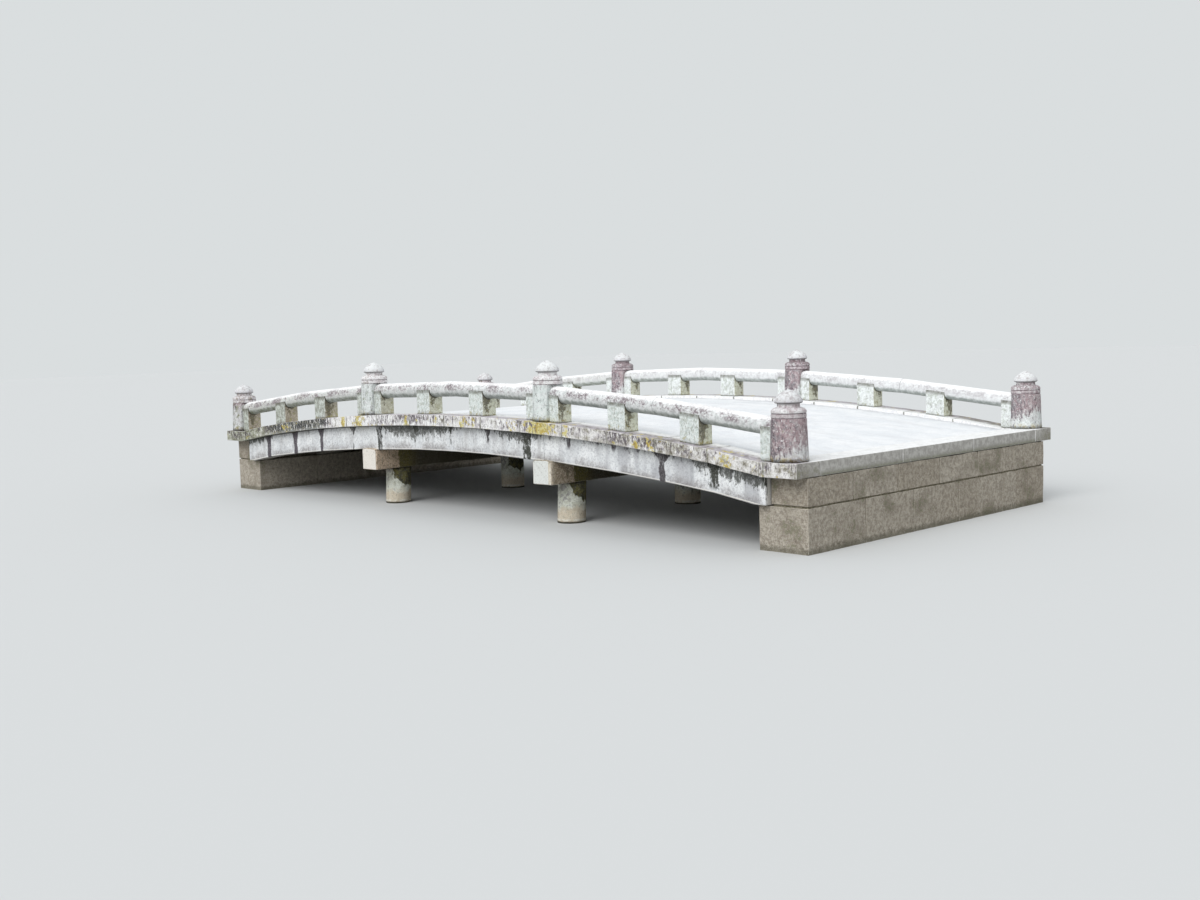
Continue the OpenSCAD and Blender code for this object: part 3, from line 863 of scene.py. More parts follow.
def mortar_look():
    """Mortar in the joints, dark with moss."""
    look = Look("joint_mortar")
    lumps = look.noise(0.03, 4.0, 0.65)
    look.ground(lumps.step(0.35, 0.65), (92, 88, 68), (146, 138, 118))
    return look.finish((0.4, 0.2), lumps, 0.003, 0.98 - lumps * 0.08)


def girder_look():
    """Smooth pale stone: a drip under each joint of the kerb, a ragged fringe, grey runs, and brown painted
    shade on the underside and inner face.
    """
    look = Look("girder_smooth")
    width, reach, fringe = look.triple("stain")
    green, shift, funnel = look.read("green"), look.read("shift"), look.read("funnel")
    down = look.below * (1 / GIRDER_DEPTH) - KERB_THICK / GIRDER_DEPTH
    face = look.y.size().step(GIRDER_FACE - 0.05, GIRDER_FACE - 0.02)
    right = look.x.size().step(1.8, 2.8) * (look.x * look.y).step(0.2, -0.2)
    broad = look.noise(0.3, 4.0, 0.6)
    speck = look.noise(0.026, 4.0, 0.78, shift=1.9)
    ragged = look.noise(0.045, 5.0, 0.72, stretch=(1, 1, 0.5), shift=4.4)
    band = look.noise(0.24, 2.0, 0.5, stretch=(1, 1, 0.15), shift=6.1)
    run = look.noise(0.12, 4.0, 0.6, stretch=(1, 1, 0.2), shift=3.1)
    thread = look.noise(0.02, 4.0, 0.7, stretch=(1, 1, 0.12), shift=8.3)
    sway = (look.noise(0.07, 3.0, 0.6, stretch=(1, 1, 0.8), shift=2.7) - 0.5) * 0.05
    # Pale ground with soft grey runs, cloudier towards the foot
    look.ground(broad.step(0.35, 0.65), (222, 225, 227), (242, 244, 245))
    look.coat(speck.step(0.5, 0.62) * 0.6, (166, 167, 172))
    look.coat(speck.step(0.44, 0.34) * 0.5, (250, 251, 251))
    look.coat(band.step(0.47, 0.6) * (right * 0.45 + 0.12), (156, 157, 163))
    look.coat(run.step(0.47, 0.64) * (1.0 - right) * 0.36, (154, 152, 152))
    off = look.from_joint(look.x - shift + sway)
    cloud = (down + (broad - 0.5) * 0.5 + (ragged - 0.5) * 0.2).step(0.6, 0.94) * off.step(0.02, 0.2)
    look.coat(cloud * (speck.step(0.36, 0.6) * 0.4 + 0.4), (138, 133, 132))
    # Painted shade: the underside and inner face are darker and browner than the outer face
    look.coat((1.0 - face) * 0.45, (170, 163, 150))
    # The drip under the nearest joint, and the fringe that hangs from the kerb
    half = width + funnel * down.step(0.42, -0.1)
    uneven = (ragged - 0.5) * (green * 0.12 + 0.04)
    level = down + (ragged - 0.5) * 0.4
    drip = (half - off + uneven).step(-0.004, 0.008) * level.step(reach + 0.06, reach - 0.14)
    hang = (ragged * 1.5 + broad * 0.6 + fringe * 0.66 - 1.17 - down).step(-0.03, 0.07)
    hang = hang * fringe.step(0.02, 0.2)
    stain = look.mix(green, look.mix(speck.step(0.42, 0.6), (92, 84, 93), (66, 59, 67)), (48, 51, 42))
    broken = ragged.step(0.38, 0.5) * green + (1.0 - green)
    look.coat(drip * face * (broken * 0.85 + 0.13), stain)
    look.coat(hang * face * (speck.step(0.36, 0.5) * 0.35 + 0.5), stain)
    look.coat(hang * face * thread.step(0.54, 0.62) * 0.8, (40, 42, 34))
    look.coat(hang * face * thread.step(0.4, 0.34) * 0.5, (228, 230, 228))
    threads = (thread + fringe * 0.08).step(0.6, 0.68) * down.step(0.9, 0.1)
    look.coat(threads * face * fringe.step(0.3, 0.6) * 0.5, (104, 102, 102))
    # A painted shadow line under the kerb, and a pale one along the foot
    look.coat((down + (ragged - 0.5) * 0.05).step(0.07, 0.01) * face * 0.8, (70, 68, 60))
    look.coat((down - 0.955).size().step(0.03, 0.01) * (1.0 - drip) * face * 0.7, (242, 241, 235))
    return look.finish((0.26, 0.25, 0.0007), broad, 0.003, 0.9 - broad * 0.15)


def deck_look():
    """Pale fine aggregate, a little darker along the kerbs."""
    look = Look("deck_aggregate")
    stones = look.cells(0.012)
    broad = look.noise(0.5, 4.0, 0.6)
    patch = look.noise(0.12, 5.0, 0.66, shift=3.0)
    worn_way = look.noise(0.5, 4.0, 0.6, stretch=(0.25, 1, 1), shift=8.0)
    look.ground(broad.step(0.35, 0.65), (236, 239, 242), (249, 250, 251))
    look.coat(stones.step(0.2, 0.6) * 0.32, (200, 202, 205))
    look.coat(patch.step(0.5, 0.66) * 0.3, (210, 210, 213))
    look.coat(worn_way.step(0.5, 0.66) * 0.3, (212, 212, 214))
    edge = look.y.size().step(DECK_HALF - 0.3, DECK_HALF)
    look.coat(edge * (patch + 0.1).step(0.42, 0.62) * 0.5, (180, 180, 184))
    joint = (look.x.size() - PIER_X).size().step(0.008, 0.003)
    look.coat(joint * patch.step(0.4, 0.6) * 0.5, (150, 148, 142))
    return look.finish((0.18, 0.3, 0.0008), stones, 0.0015, 0.95 - broad * 0.1)


def sill_look():
    """Near-white dressed stone, grey on its end face, with a mossy line at its foot."""
    look = Look("sill_granite")
    mottle = look.noise(0.07, 5.0, 0.68)
    look.ground(mottle.step(0.38, 0.6), (230, 230, 229), (246, 246, 246))
    end = look.out_x.size().step(0.5, 0.9)
    look.coat(end * 0.85, look.mix(mottle.step(0.4, 0.6), (150, 146, 140), (182, 180, 174)))
    foot = look.z.step(END_TOP - 0.09, END_TOP - END_THICK)
    look.coat(foot * (mottle + 0.1).step(0.42, 0.6) * 0.7, (98, 100, 66))
    look.coat(look.worn * 0.5, (242, 242, 240))
    return look.finish((0.3, 0.3), mottle, 0.003, 0.95 - mottle * 0.15)


def beam_look():
    """Smooth warm stone: pale ends with a dark rim, brown sides, painted light on the sides' heads and, with
    a pinkish stain, on the left pier's sides, moss where the girders drip on it, and painted shade further
    in under the bridge.
    """
    look = Look("beam_smooth")
    mottle = look.noise(0.05, 5.0, 0.7)
    ragged = look.noise(0.06, 5.0, 0.68, stretch=(1, 1, 0.4), shift=5.0)
    specks = look.noise(0.02, 4.0, 0.7, shift=1.0)
    right = look.x.step(-0.2, 0.2)
    end = look.out_y.size().step(0.8, 0.97)
    flank = 1.0 - end
    # Pale ends and brown sides, with painted light on the heads in front of the girders; the left pier's
    # sides get a pinkish beige that is partly stain and partly painted light
    look.ground(mottle.step(0.38, 0.6), (196, 182, 160), (226, 218, 202))
    look.coat(end * 0.75, look.mix(right, (238, 234, 228), (228, 234, 234)))
    edge = (look.x.size() - PIER_X + (ragged - 0.5) * 0.02).step(0.116, 0.13)
    look.coat(end * right * edge * 0.8, (206, 192, 166))
    lit_head = look.y.size().step(GIRDER_FACE - 0.03, GIRDER_FACE + 0.01)
    look.coat(flank * (mottle + 0.06).step(0.46, 0.56) * (0.8 - lit_head * 0.35), (140, 120, 98))
    # Partly a pinkish stain and partly painted light on the left pier's sides
    look.coat(flank * (1.0 - right) * (ragged + 0.05).step(0.42, 0.5) * 0.7, (216, 190, 164))
    look.coat(flank * specks.step(0.52, 0.6) * 0.6, (80, 70, 52))
    look.coat(flank * specks.step(0.43, 0.36) * 0.7, (226, 216, 196))
    # Moss and damp under the girders, and painted shade that darkens the sides further in under the bridge
    damp_and_shade = look.y.size().step(2.4, 2.2)
    inner = look.y.size().step(2.15, 1.9)
    moss = look.mix(inner, look.mix(specks.step(0.4, 0.6), (66, 62, 16), (104, 98, 36)), (44, 42, 24))
    look.coat((damp_and_shade + ragged * 1.1).step(0.98, 1.2) * flank * 0.94, moss)
    # Painted shade deep under the bridge
    look.coat(inner * flank * 0.5, (70, 66, 46))
    look.coat(ragged.step(0.55, 0.66) * (1.0 - damp_and_shade) * flank * 0.6, (92, 86, 60))
    # Spots on the ends, and the rims
    look.coat(end * mottle.step(0.56, 0.66) * 0.4, (150, 147, 138))
    look.coat(end * specks.step(0.6, 0.68) * 0.5, (120, 116, 106))
    rim = look.worn.step(0.3, 0.9) * (look.z - PIER_SEAT).step(-0.03, 0.0)
    look.coat(rim * mottle.step(0.38, 0.52) * 0.7, (96, 90, 66))
    look.coat(look.worn * (1.0 - rim) * mottle.step(0.62, 0.42) * 0.6, (238, 234, 226))
    arris = look.worn * (1.0 - right) * look.out_x.step(0.3, 0.6)
    look.coat(arris * ragged.step(0.4, 0.48) * 0.8, (78, 68, 48))
    return look.finish((0.35, 0.2), mottle, 0.004, 0.97 - mottle * 0.15)


def column_look():
    """Pale round stone, greenish above, warm below, with moss down its inner side and a scum line."""
    look = Look("column_smooth")
    mottle = look.noise(0.07, 5.0, 0.68)
    ragged = look.noise(0.06, 5.0, 0.68, stretch=(1, 1, 0.6), shift=5.0)
    specks = look.noise(0.02, 4.0, 0.7, shift=1.0)
    look.ground(mottle.step(0.38, 0.6), (200, 202, 188), (228, 231, 220))
    look.coat((look.z + (mottle - 0.5) * 0.24).step(0.25, 0.12) * 0.75, (204, 188, 164))
    look.coat(specks.step(0.54, 0.64) * 0.45, (128, 124, 108))
    look.coat((ragged + look.z * 0.3).step(0.6, 0.72) * 0.5, (126, 122, 104))
    # The moss patch reaches further down on the right pier
    inwards = look.out_y * -look.y.sign()
    turned = look.out_x * 0.7 + inwards * 0.71
    drop = look.z - COLUMN_TOP
    right = look.x.step(-0.2, 0.2)
    look.coat((mottle + drop * 0.3).step(0.47, 0.54) * turned.step(0.1, -0.3) * 0.6, (104, 94, 102))
    cut = look.mix(right, drop.step(-0.13, -0.3), drop.step(0.02, -0.36))
    top = turned - cut * 1.35 + (ragged - 0.5) * 1.6
    look.coat(top.step(-0.3, -0.18) * 0.95, look.mix(mottle.step(0.42, 0.62), (40, 38, 6), (96, 90, 28)))
    # Dark foot and scum line
    look.coat((look.z + (ragged - 0.5) * 0.03).step(0.024, 0.012) * 0.8, (70, 72, 44))
    look.coat((look.z - 0.04).size().step(0.02, 0.008) * mottle.step(0.4, 0.55) * 0.7, (226, 224, 214))
    return look.finish((0.4, 0.25), mottle, 0.004, 0.95 - mottle * 0.15)


def abutment_look():
    """Rough brownish stone with moss and a darker wet foot."""
    look = Look("abutment_stone_rough")
    lumps = look.noise(0.05, 5.0, 0.7)
    broad = look.noise(0.4, 4.0, 0.6, shift=3.3)
    specks = look.noise(0.02, 4.0, 0.7, shift=1.7)
    look.ground(lumps.step(0.36, 0.64), (148, 139, 126), (188, 180, 166))
    block = (look.y * 1.1 + look.z.step(SEAT_Z - 0.001, SEAT_Z + 0.001) * 20.0).whole()
    look.coat(look.chance(block) * 0.4, (206, 198, 186), "MULTIPLY")
    look.coat(broad.step(0.44, 0.66) * 0.4, (126, 114, 102))
    look.coat(specks.step(0.55, 0.66) * 0.5, (104, 95, 84))
    look.coat(specks.step(0.42, 0.34) * 0.5, (206, 200, 186))
    look.coat((broad + lumps * 0.5).step(0.8, 0.9) * lumps.step(0.4, 0.56) * 0.6, (98, 100, 68))
    look.coat((look.z + (lumps - 0.5) * 0.1).step(0.09, 0.03) * 0.6, (78, 76, 56))
    look.coat(look.worn * lumps.step(0.62, 0.4) * 0.4, (204, 198, 184))
    return look.finish((0.5, 0.25, 0.0018), lumps, 0.008, 0.98 - lumps * 0.08)


def inner_look():
    """The girders under the deck: grey and brown, darker than the outer girders as painted shade, with runs
    of old damp.
    """
    look = Look("inner_girder_shade", kept=False)
    mottle = look.noise(0.14, 4.0, 0.62)
    run = look.noise(0.06, 4.0, 0.62, stretch=(1, 1, 0.25), shift=2.0)
    # Painted shade: a darker ground than the outer girders' stone
    look.ground(mottle.step(0.36, 0.64), (134, 130, 120), (168, 164, 154))
    look.coat(run.step(0.5, 0.66) * 0.6, (92, 88, 76))
    return look.finish((0.3, 0.15), mottle, 0.004, 0.97 - mottle * 0.1)


def post_look():
    """Dressed granite: soot that runs down the shaft, moss, lichen at the foot, a pale cap; painted light on
    the collar, and painted shade under the cap, in the grooves and at the foot.
    """
    look = Look("post_granite")
    reach, moss, light = look.triple("stain")
    high, crust = look.read("high"), look.read("crust")
    mottle = look.noise(0.05, 5.0, 0.7)
    run = look.noise(0.034, 5.0, 0.74, stretch=(1, 1, 0.42), shift=4.0)
    patch = look.noise(0.05, 5.0, 0.66, shift=7.0)
    specks = look.noise(0.02, 4.0, 0.7, shift=2.6)
    streak = look.noise(0.03, 4.0, 0.7, stretch=(1, 1, 0.12), shift=1.4)
    shaft = high.step(LOWER_GROOVE + 0.002, LOWER_GROOVE - 0.002)
    cap = high.step(CAP_LOW - 0.01, CAP_LOW + 0.002)
    collar = 1.0 - shaft - cap
    look.ground((mottle + light * 0.16).step(0.44, 0.7), (184, 179, 181), (234, 237, 236))
    look.coat(shaft * light * (patch.step(0.4, 0.6) * 0.35 + 0.25), (202, 215, 211))
    look.coat(shaft * (1.0 - light) * 0.5, (184, 174, 178))
    # Crusts on the collar, which is painted lighter to offset the shade under the cap, and soot below its
    # upper groove
    look.coat(collar * (1.0 - crust) * 0.6, (240, 236, 237))
    lumps = patch * 0.6 + mottle * 0.4 + look.out_x * 0.02
    purple = look.mix(run.step(0.42, 0.58), (142, 114, 120), (178, 156, 164))
    look.coat((lumps + crust * 0.07).step(0.51, 0.57) * collar * (crust * 0.4 + 0.4), purple)
    dots = (mottle * 0.4 + specks * 0.6 + crust * 0.1).step(0.56, 0.62)
    look.coat(dots * collar * (crust * 0.35 + 0.35), (104, 88, 92))
    below_line = (high + (mottle - 0.5) * 0.05).step(UPPER_GROOVE + 0.004, UPPER_GROOVE - 0.004)
    look.coat(below_line * collar * reach.step(0.2, 0.36) * 0.55, (146, 126, 132))
    # Soot down the shaft, further on the side that faces away from the sun
    drop = LOWER_GROOVE - high
    soaked = reach - look.out_x * reach * 0.3 + (run - 0.5) * 0.5 + (mottle - 0.5) * 0.4
    soak = (soaked - drop).step(-0.03, 0.05) * shaft
    shade = (run * 0.5 + mottle * 0.5 - look.out_x * 0.08).step(0.43, 0.55)
    soot = look.mix(shade, (158, 136, 140), (82, 64, 76))
    look.coat(soak * reach.step(0.0, 0.08) * (mottle.step(0.62, 0.42) * 0.26 + 0.7), soot)
    look.coat(patch.step(0.54, 0.62) * soak * 0.45, (192, 178, 180))
    look.coat(patch.step(0.46, 0.38) * soak * 0.45, (74, 58, 68))
    # Streaks down the shaft, dark and pale
    look.coat((streak + moss * 0.2 - look.out_x * 0.1 - 0.04).step(0.6, 0.66) * shaft * 0.85, (68, 72, 66))
    look.coat((run + reach * 0.06).step(0.6, 0.66) * shaft * 0.7, (84, 74, 80))
    look.coat(run.step(0.41, 0.36) * shaft * 0.35, (240, 240, 239))
    look.coat(specks.step(0.42, 0.37) * soak * 0.8, (236, 232, 232))
    thin = (run * 0.6 + specks * 0.4 + moss * 0.06).step(0.55, 0.6)
    look.coat(thin * (shaft - soak) * light * 0.6, (92, 98, 95))
    # Moss
    look.coat((patch + moss * 0.34).step(0.64, 0.82) * (1.0 - cap) * 0.75, (140, 139, 108))
    look.coat((patch + moss * 0.2).step(0.68, 0.82) * (1.0 - cap) * 0.6, (84, 88, 58))
    # The cap, and painted shade on its underside
    look.coat(cap * mottle.step(0.46, 0.6) * (look.out_z.step(0.75, 0.2) * 0.4 + 0.2), (182, 175, 188))
    look.coat(cap * specks.step(0.6, 0.68) * 0.5, (132, 127, 124))
    look.coat(cap * look.out_z.step(-0.1, -0.5) * 0.75, (112, 108, 108))
    # Lichen, and a dark line at the foot that is partly dirt and partly painted contact shade
    look.coat(high.step(0.09, 0.0) * (patch + 0.05).step(0.53, 0.62) * 0.7, (190, 168, 96))
    look.coat(high.step(0.014, 0.0) * 0.6, (84, 80, 66))
    # Grooves darkened partly by stain and partly as painted shade, worn edges and specks
    lower, upper = [(high - line).size().step(0.009, 0.003) for line in (LOWER_GROOVE, UPPER_GROOVE)]
    look.coat((lower + upper) * mottle.step(0.38, 0.56) * 0.5, (132, 112, 118))
    look.coat(look.worn.step(0.1, 0.6) * mottle.step(0.62, 0.42) * 0.35, (232, 230, 230))
    # Painted shade in the bottom of the grooves
    look.coat((-look.worn).step(0.1, 0.7) * 0.7, (80, 72, 78))
    look.coat(specks.step(0.38, 0.32) * (1.0 - cap) * 0.8, (240, 238, 238))
    look.coat(specks.step(0.61, 0.69) * 0.55, (96, 90, 92))
    return look.finish((0.35, 0.3), mottle, 0.003, 0.96 - mottle * 0.18)


def rail_look():
    """Smooth round stone: near white above, partly washed and partly a painted highlight; clusters of grey
    and pink smudges on the sides; green below, partly damp and partly painted shade; painted shade where it
    meets the main posts.
    """
    look = Look("rail_granite")
    mottle = look.noise(0.06, 5.0, 0.68)
    smudge = look.noise(0.024, 5.0, 0.76, stretch=(0.8, 1, 1), shift=6.0)
    cluster = look.noise(0.24, 3.0, 0.6, shift=1.0)
    far = look.y.step(0.0, 1.0)
    left = look.x.step(1.0, -5.0)
    facing_up = look.out_z + (mottle - 0.5) * 0.4
    above = facing_up.step(0.45, 0.85)
    under = facing_up.step(-0.25, -0.65)
    look.ground(mottle.step(0.38, 0.6), look.mix(far, (200, 204, 203), (210, 210, 211)), (228, 230, 230))
    # The top is near white, partly washed stone and partly a painted highlight; the grey green below is
    # partly damp and partly painted shade
    look.coat(above * 0.95, (252, 252, 252))
    look.coat(left * (1.0 - above) * mottle.step(0.38, 0.54) * 0.4, (184, 186, 168))
    damp_and_shade = look.mix(left, (138, 147, 142), (124, 130, 104))
    look.coat(under * 0.85, look.mix(mottle.step(0.4, 0.6), damp_and_shade, (176, 182, 178)))
    # Smudges on the sides
    band = look.out_z.step(-0.4, 0.2) * (1.0 - above * 0.75) * (1.0 - far * 0.65)
    spread = smudge + (cluster - 0.5) * 0.7 + left * 0.03
    look.coat(spread.step(0.42, 0.58) * band * 0.62, (160, 147, 152))
    look.coat(spread.step(0.52, 0.62) * band * 0.76, (104, 89, 95))
    # Painted shade where the rail meets a main post's flat
    look.coat(look.at_post() * 0.6, (104, 96, 94))
    return look.finish((0.22, 0.3), mottle, 0.003, 0.95 - mottle * 0.2)


def saddle_look():
    """Dressed granite: grey green fronts, brown ends with a dark run of moss and painted shade under the
    rail, lichen at the foot, and painted shade where it meets the rail, the main post and the kerb.
    """
    look = Look("saddle_granite")
    mottle = look.noise(0.036, 5.0, 0.72)
    run = look.noise(0.03, 5.0, 0.7, stretch=(1, 1, 0.3), shift=4.0)
    patch = look.noise(0.05, 5.0, 0.66, shift=7.0)
    specks = look.noise(0.018, 4.0, 0.7, shift=9.0)
    end = look.out_x.size().step(0.5, 0.9)
    near = look.y.step(1.0, -1.0)
    left = look.x.step(0.5, -4.5) * near
    above = -look.below
    # Fronts, browner towards the left end of the bridge
    look.ground(mottle.step(0.32, 0.62), look.mix(near, (210, 212, 212), (200, 210, 206)), (234, 239, 237))
    cloudy = look.mix((run * 0.5 + patch * 0.5).step(0.44, 0.56), (194, 200, 190), (122, 120, 106))
    look.coat(left * 0.8, cloudy)
    brown = look.mix(mottle.step(0.4, 0.6), (196, 180, 158), (150, 134, 114))
    ends = look.mix(left, (224, 226, 202), brown)
    look.coat(end * 0.8, look.mix(patch.step(0.45, 0.56) * 0.5, ends, (168, 160, 134)))
    look.coat((run + left * 0.04).step(0.56, 0.66) * (1.0 - end) * 0.6, (128, 128, 120))
    look.coat((patch + mottle * 0.4).step(0.7, 0.8) * (1.0 - end) * 0.5, (150, 156, 140))
    # The run under the rail, on the ends, is moss and painted shade; `gap` is the distance from the rail
    way = look.y.sign()
    across = look.y * way - PARAPET
    under = look.read("under")
    gap = look.math("SQRT", across * across + under * under) - RAIL_R
    wide = look.chance((look.x * 2.0 + way * 50.0).whole())
    ragged = (patch - 0.5) * 0.36 + (mottle - 0.5) * 0.12
    streak = wide * 0.08 + 0.05 - (under - RAIL_R) * 0.45 - (across - 0.05).size() + ragged
    moss_and_shade = look.mix(mottle.step(0.42, 0.58), (70, 68, 50), (112, 104, 78))
    look.coat(streak.step(-0.008, 0.03) * end * 0.85, moss_and_shade)
    # Lichen and specks
    look.coat((patch - above * 1.5 + near * 0.07 - 0.03).step(0.52, 0.62) * 0.6, (188, 174, 112))
    look.coat(end * (patch - across * 0.5 + 0.04).step(0.6, 0.68) * 0.5, (170, 168, 110))
    look.coat(end * specks.step(0.4, 0.34) * 0.7, (238, 238, 230))
    look.coat(specks.step(0.57, 0.65) * 0.6, (110, 107, 100))
    # Painted shade, with some moss and dirt, where it meets the rail, the main post and the kerb, and the
    # worn arrises
    look.coat(gap.step(0.024, 0.008) * (mottle.step(0.4, 0.6) * 0.3 + 0.5), (84, 80, 68))
    look.coat(look.at_post() * 0.6, (92, 90, 80))
    look.coat(above.step(0.02, 0.0) * 0.7, (78, 76, 60))
    look.coat(look.worn * gap.step(0.012, 0.03) * mottle.step(0.64, 0.42) * 0.5, (236, 238, 234))
    return look.finish((0.34, 0.3), mottle, 0.003, 0.96 - mottle * 0.18)


# Where the stones are stained. Places along the bridge are in metres, as seen from the side that is marked

def kerb_marks(side):
    """Moss, dark streaks and yellow lichen along the kerb: places with a strength, and spots of lichen."""
    def marks(p):
        x = -side * p[:, 0]
        moss = along(x, (-5.75, 0.8), (-5.2, 0.95), (-4.6, 0.8), (-4.0, 0.5), (-3.1, 0.45), (-2.7, 0.1),
                     (1.2, 0.1), (2.3, 0.3), (3.1, 0.55), (4.2, 0.6), (4.8, 0.3), (5.75, 0.55))
        dark = along(x, (-5.75, 0.5), (-4.6, 0.5), (-4.2, 0.9), (-3.1, 0.95), (-2.75, 0.6), (-2.5, 0.05),
                     (-1.7, 0.1), (-1.4, 0.5), (1.5, 0.4), (1.9, 0.5), (2.15, 0.1), (2.8, 0.25), (3.2, 0.5),
                     (4.1, 0.45), (4.6, 0.15), (5.75, 0.25))
        yellow = spots(x, (-3.95, 0.1, 0.6), (-2.38, 0.1, 0.8), (-2.0, 0.2, 0.85), (-0.85, 0.08, 0.7),
                       (-0.2, 0.08, 0.5), (0.4, 0.1, 0.6), (0.6, 0.08, 0.5), (1.35, 0.12, 0.6),
                       (1.87, 0.36, 1.05), (2.35, 0.08, 0.6), (3.5, 0.12, 0.5), (3.72, 0.08, 0.6),
                       (4.8, 0.2, 0.4))
        return {"stain": np.stack([moss, dark, 0.1 + yellow], axis=1)}
    return marks


# Of each drip, from the left end: half its width and how much wider its top is, in metres, its reach down
# the girder and its greenness, as shares, and how far to the right of the joint it runs, in metres
DRIPS = np.array([
    (0.06, 0.05, 0.8, 1.0, 0.0), (0.052, 0.055, 1.3, 0.1, -0.075), (0.048, 0.05, 1.3, 0.1, -0.05),
    (0.038, 0.06, 1.3, 0.1, -0.08), (0.004, 0.1, 1.3, 0.6, 0.0), (0.055, 0.02, 1.3, 0.8, -0.1),
    (0.02, 0.05, 0.4, 1.0, 0.0), (0.012, 0.03, 0.75, 0.3, 0.0), (0.02, 0.06, 0.6, 0.4, 0.0),
    (0.07, 0.03, 1.3, 0.9, 0.0), (0.03, 0.01, 0.45, 0.3, 0.0), (0.02, 0.04, 0.28, 0.3, 0.0),
    (0.045, 0.1, 1.3, 0.4, 0.0), (0.06, 0.06, 0.9, 1.0, 0.0), (0.06, 0.06, 0.9, 1.0, 0.0)])


def girder_marks(side):
    """The drip under the nearest joint of the kerb, and how far the dark fringe hangs down."""
    def marks(p):
        x = -side * p[:, 0]
        middle = len(DRIPS) // 2
        nearest = np.clip(np.round(x / STONE), -middle, middle).astype(int) + middle
        half, funnel, reach, green, shift = DRIPS[nearest].T
        fringe = along(x, (-5.75, 0.5), (-4.9, 0.45), (-4.4, 0.1), (-1.8, 0.1), (-1.4, 0.6), (-0.76, 0.95),
                       (-0.1, 0.5), (0.3, 0.15), (0.8, 0.3), (1.0, 0.65), (1.5, 0.7), (2.0, 0.2),
                       (4.0, 0.25), (4.5, 0.6), (5.75, 0.8))
        return {"stain": np.stack([half, reach, fringe], axis=1), "green": np.maximum(green, fringe > 0.4),
                "shift": -side * shift, "funnel": funnel}
    return marks


# Of each main post: how far soot runs down its shaft in metres, moss, paleness, and crust on the collar
POST_STAINS = {
    "near": [(0.1, 0.45, 0.55, 0.5), (0.02, 0.3, 0.9, 0.2), (0.02, 0.05, 1.0, 0.25), (0.42, 0.1, 0.5, 0.4)],
    "far": [(0.2, 0.3, 0.5, 0.5), (0.38, 0.05, 0.6, 1.0), (0.34, 0.0, 0.6, 1.1), (0.32, 0.0, 0.8, 0.9)]}


def post_marks(word, k):
    """A main post's stains, the same all over it, and each point's height above the kerb's top."""
    def marks(p):
        reach, moss, light, crust = POST_STAINS[word][k]
        return {"stain": np.broadcast_to((reach, moss, light), p.shape), "crust": np.full(len(p), crust),
                "high": p[:, 2] - float(top_z(POST_X[k]))}
    return marks


RAIL_X = sorted(POST_X + [(a + b) / 2 for a, b in zip(POST_X[:-1], POST_X[1:])])
RAIL_AXIS = [float(top_z(x)) + RAIL_H for x in RAIL_X]


def saddle_marks(p):
    """How far each point is under the rail's axis, whose line is straight from main post to mid-bay."""
    return {"under": np.interp(p[:, 0], RAIL_X, RAIL_AXIS) - p[:, 2]}


# The pieces

def parapet_and_girders(word, side, finish):
    """One side of the bridge: kerb, main posts, outer girders, rails and short posts."""
    y = side * PARAPET
    piece(word + "_kerb_stones", kerb_stones(side), [word + "_kerb"], finish["kerb"],
          kerb_marks(side))
    piece(word + "_kerb_mortar", [kerb_bed(side)], [], finish["mortar"])
    for k in range(len(POST_X)):
        node = "%s_post_%d" % (word, k + 1)
        piece(node + "_turned", [main_post(k, y, POST_SEED + 10 * k + side)], [node],
              finish["post"], post_marks(word, k))
    for k, bay in enumerate(BAYS):
        piece("%s_outer_girder_%s" % (word, bay), [outer_girder(side, k)],
              ["%s_girder_%s" % (word, bay)], finish["girder"], girder_marks(side))
        piece("%s_round_rail_%s" % (word, bay), [rail_stone(k, -1, y), rail_stone(k, 1, y)],
              ["%s_rail_%s" % (word, bay)], finish["rail"])
        piece("%s_short_posts_%s" % (word, bay), saddles(k, y),
              ["%s_saddles_%s" % (word, bay)], finish["saddle"], saddle_marks)


def pier_and_abutment(word, end, finish):
    """One end of the bridge: sill, pier and abutment."""
    piece(word + "_sill_stones", sill_stones(end), [word + "_sill"], finish["sill"])
    piece(word + "_pier_beam", [cap_beam(end)], [word + "_pier_cap_beam"], finish["beam"])
    piece(word + "_round_columns", [column(end, side) for side in (-1, 0, 1)],
          [word + "_pier_columns"], finish["column"])
    piece(word + "_abutment_stones", abutment_stones(end), [word + "_abutment"],
          finish["abutment"])
    piece(word + "_abutment_mortar", abutment_bed(end), [], finish["mortar"])


def build():
    """All pieces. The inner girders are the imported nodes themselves, with a finish of their own."""
    finish = {"kerb": kerb_look(), "mortar": mortar_look(), "girder": girder_look(), "deck": deck_look(),
              "sill": sill_look(), "beam": beam_look(), "column": column_look(), "abutment": abutment_look(),
              "inner": inner_look(), "post": post_look(), "rail": rail_look(), "saddle": saddle_look()}
    for word, side in SIDES.items():
        parapet_and_girders(word, side, finish)
    for k, bay in enumerate(BAYS):
        piece("deck_slab_" + bay, [deck_slab(k)], ["deck_" + bay], finish["deck"])
        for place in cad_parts["inner_girders_" + bay].material_slots:
            place.material = finish["inner"]
    for word, end in ENDS.items():
        pier_and_abutment(word, end, finish)


build()

# Camera, fitted to the posts, caps, kerb and water line of the photograph
CAMERA_AT = (13.696, -13.385, 2.282)
YAW, PITCH, ROLL = -0.791766, -0.084857, -0.028664
LENS, SENSOR, SIGHT = 39.10, 36.0, 300

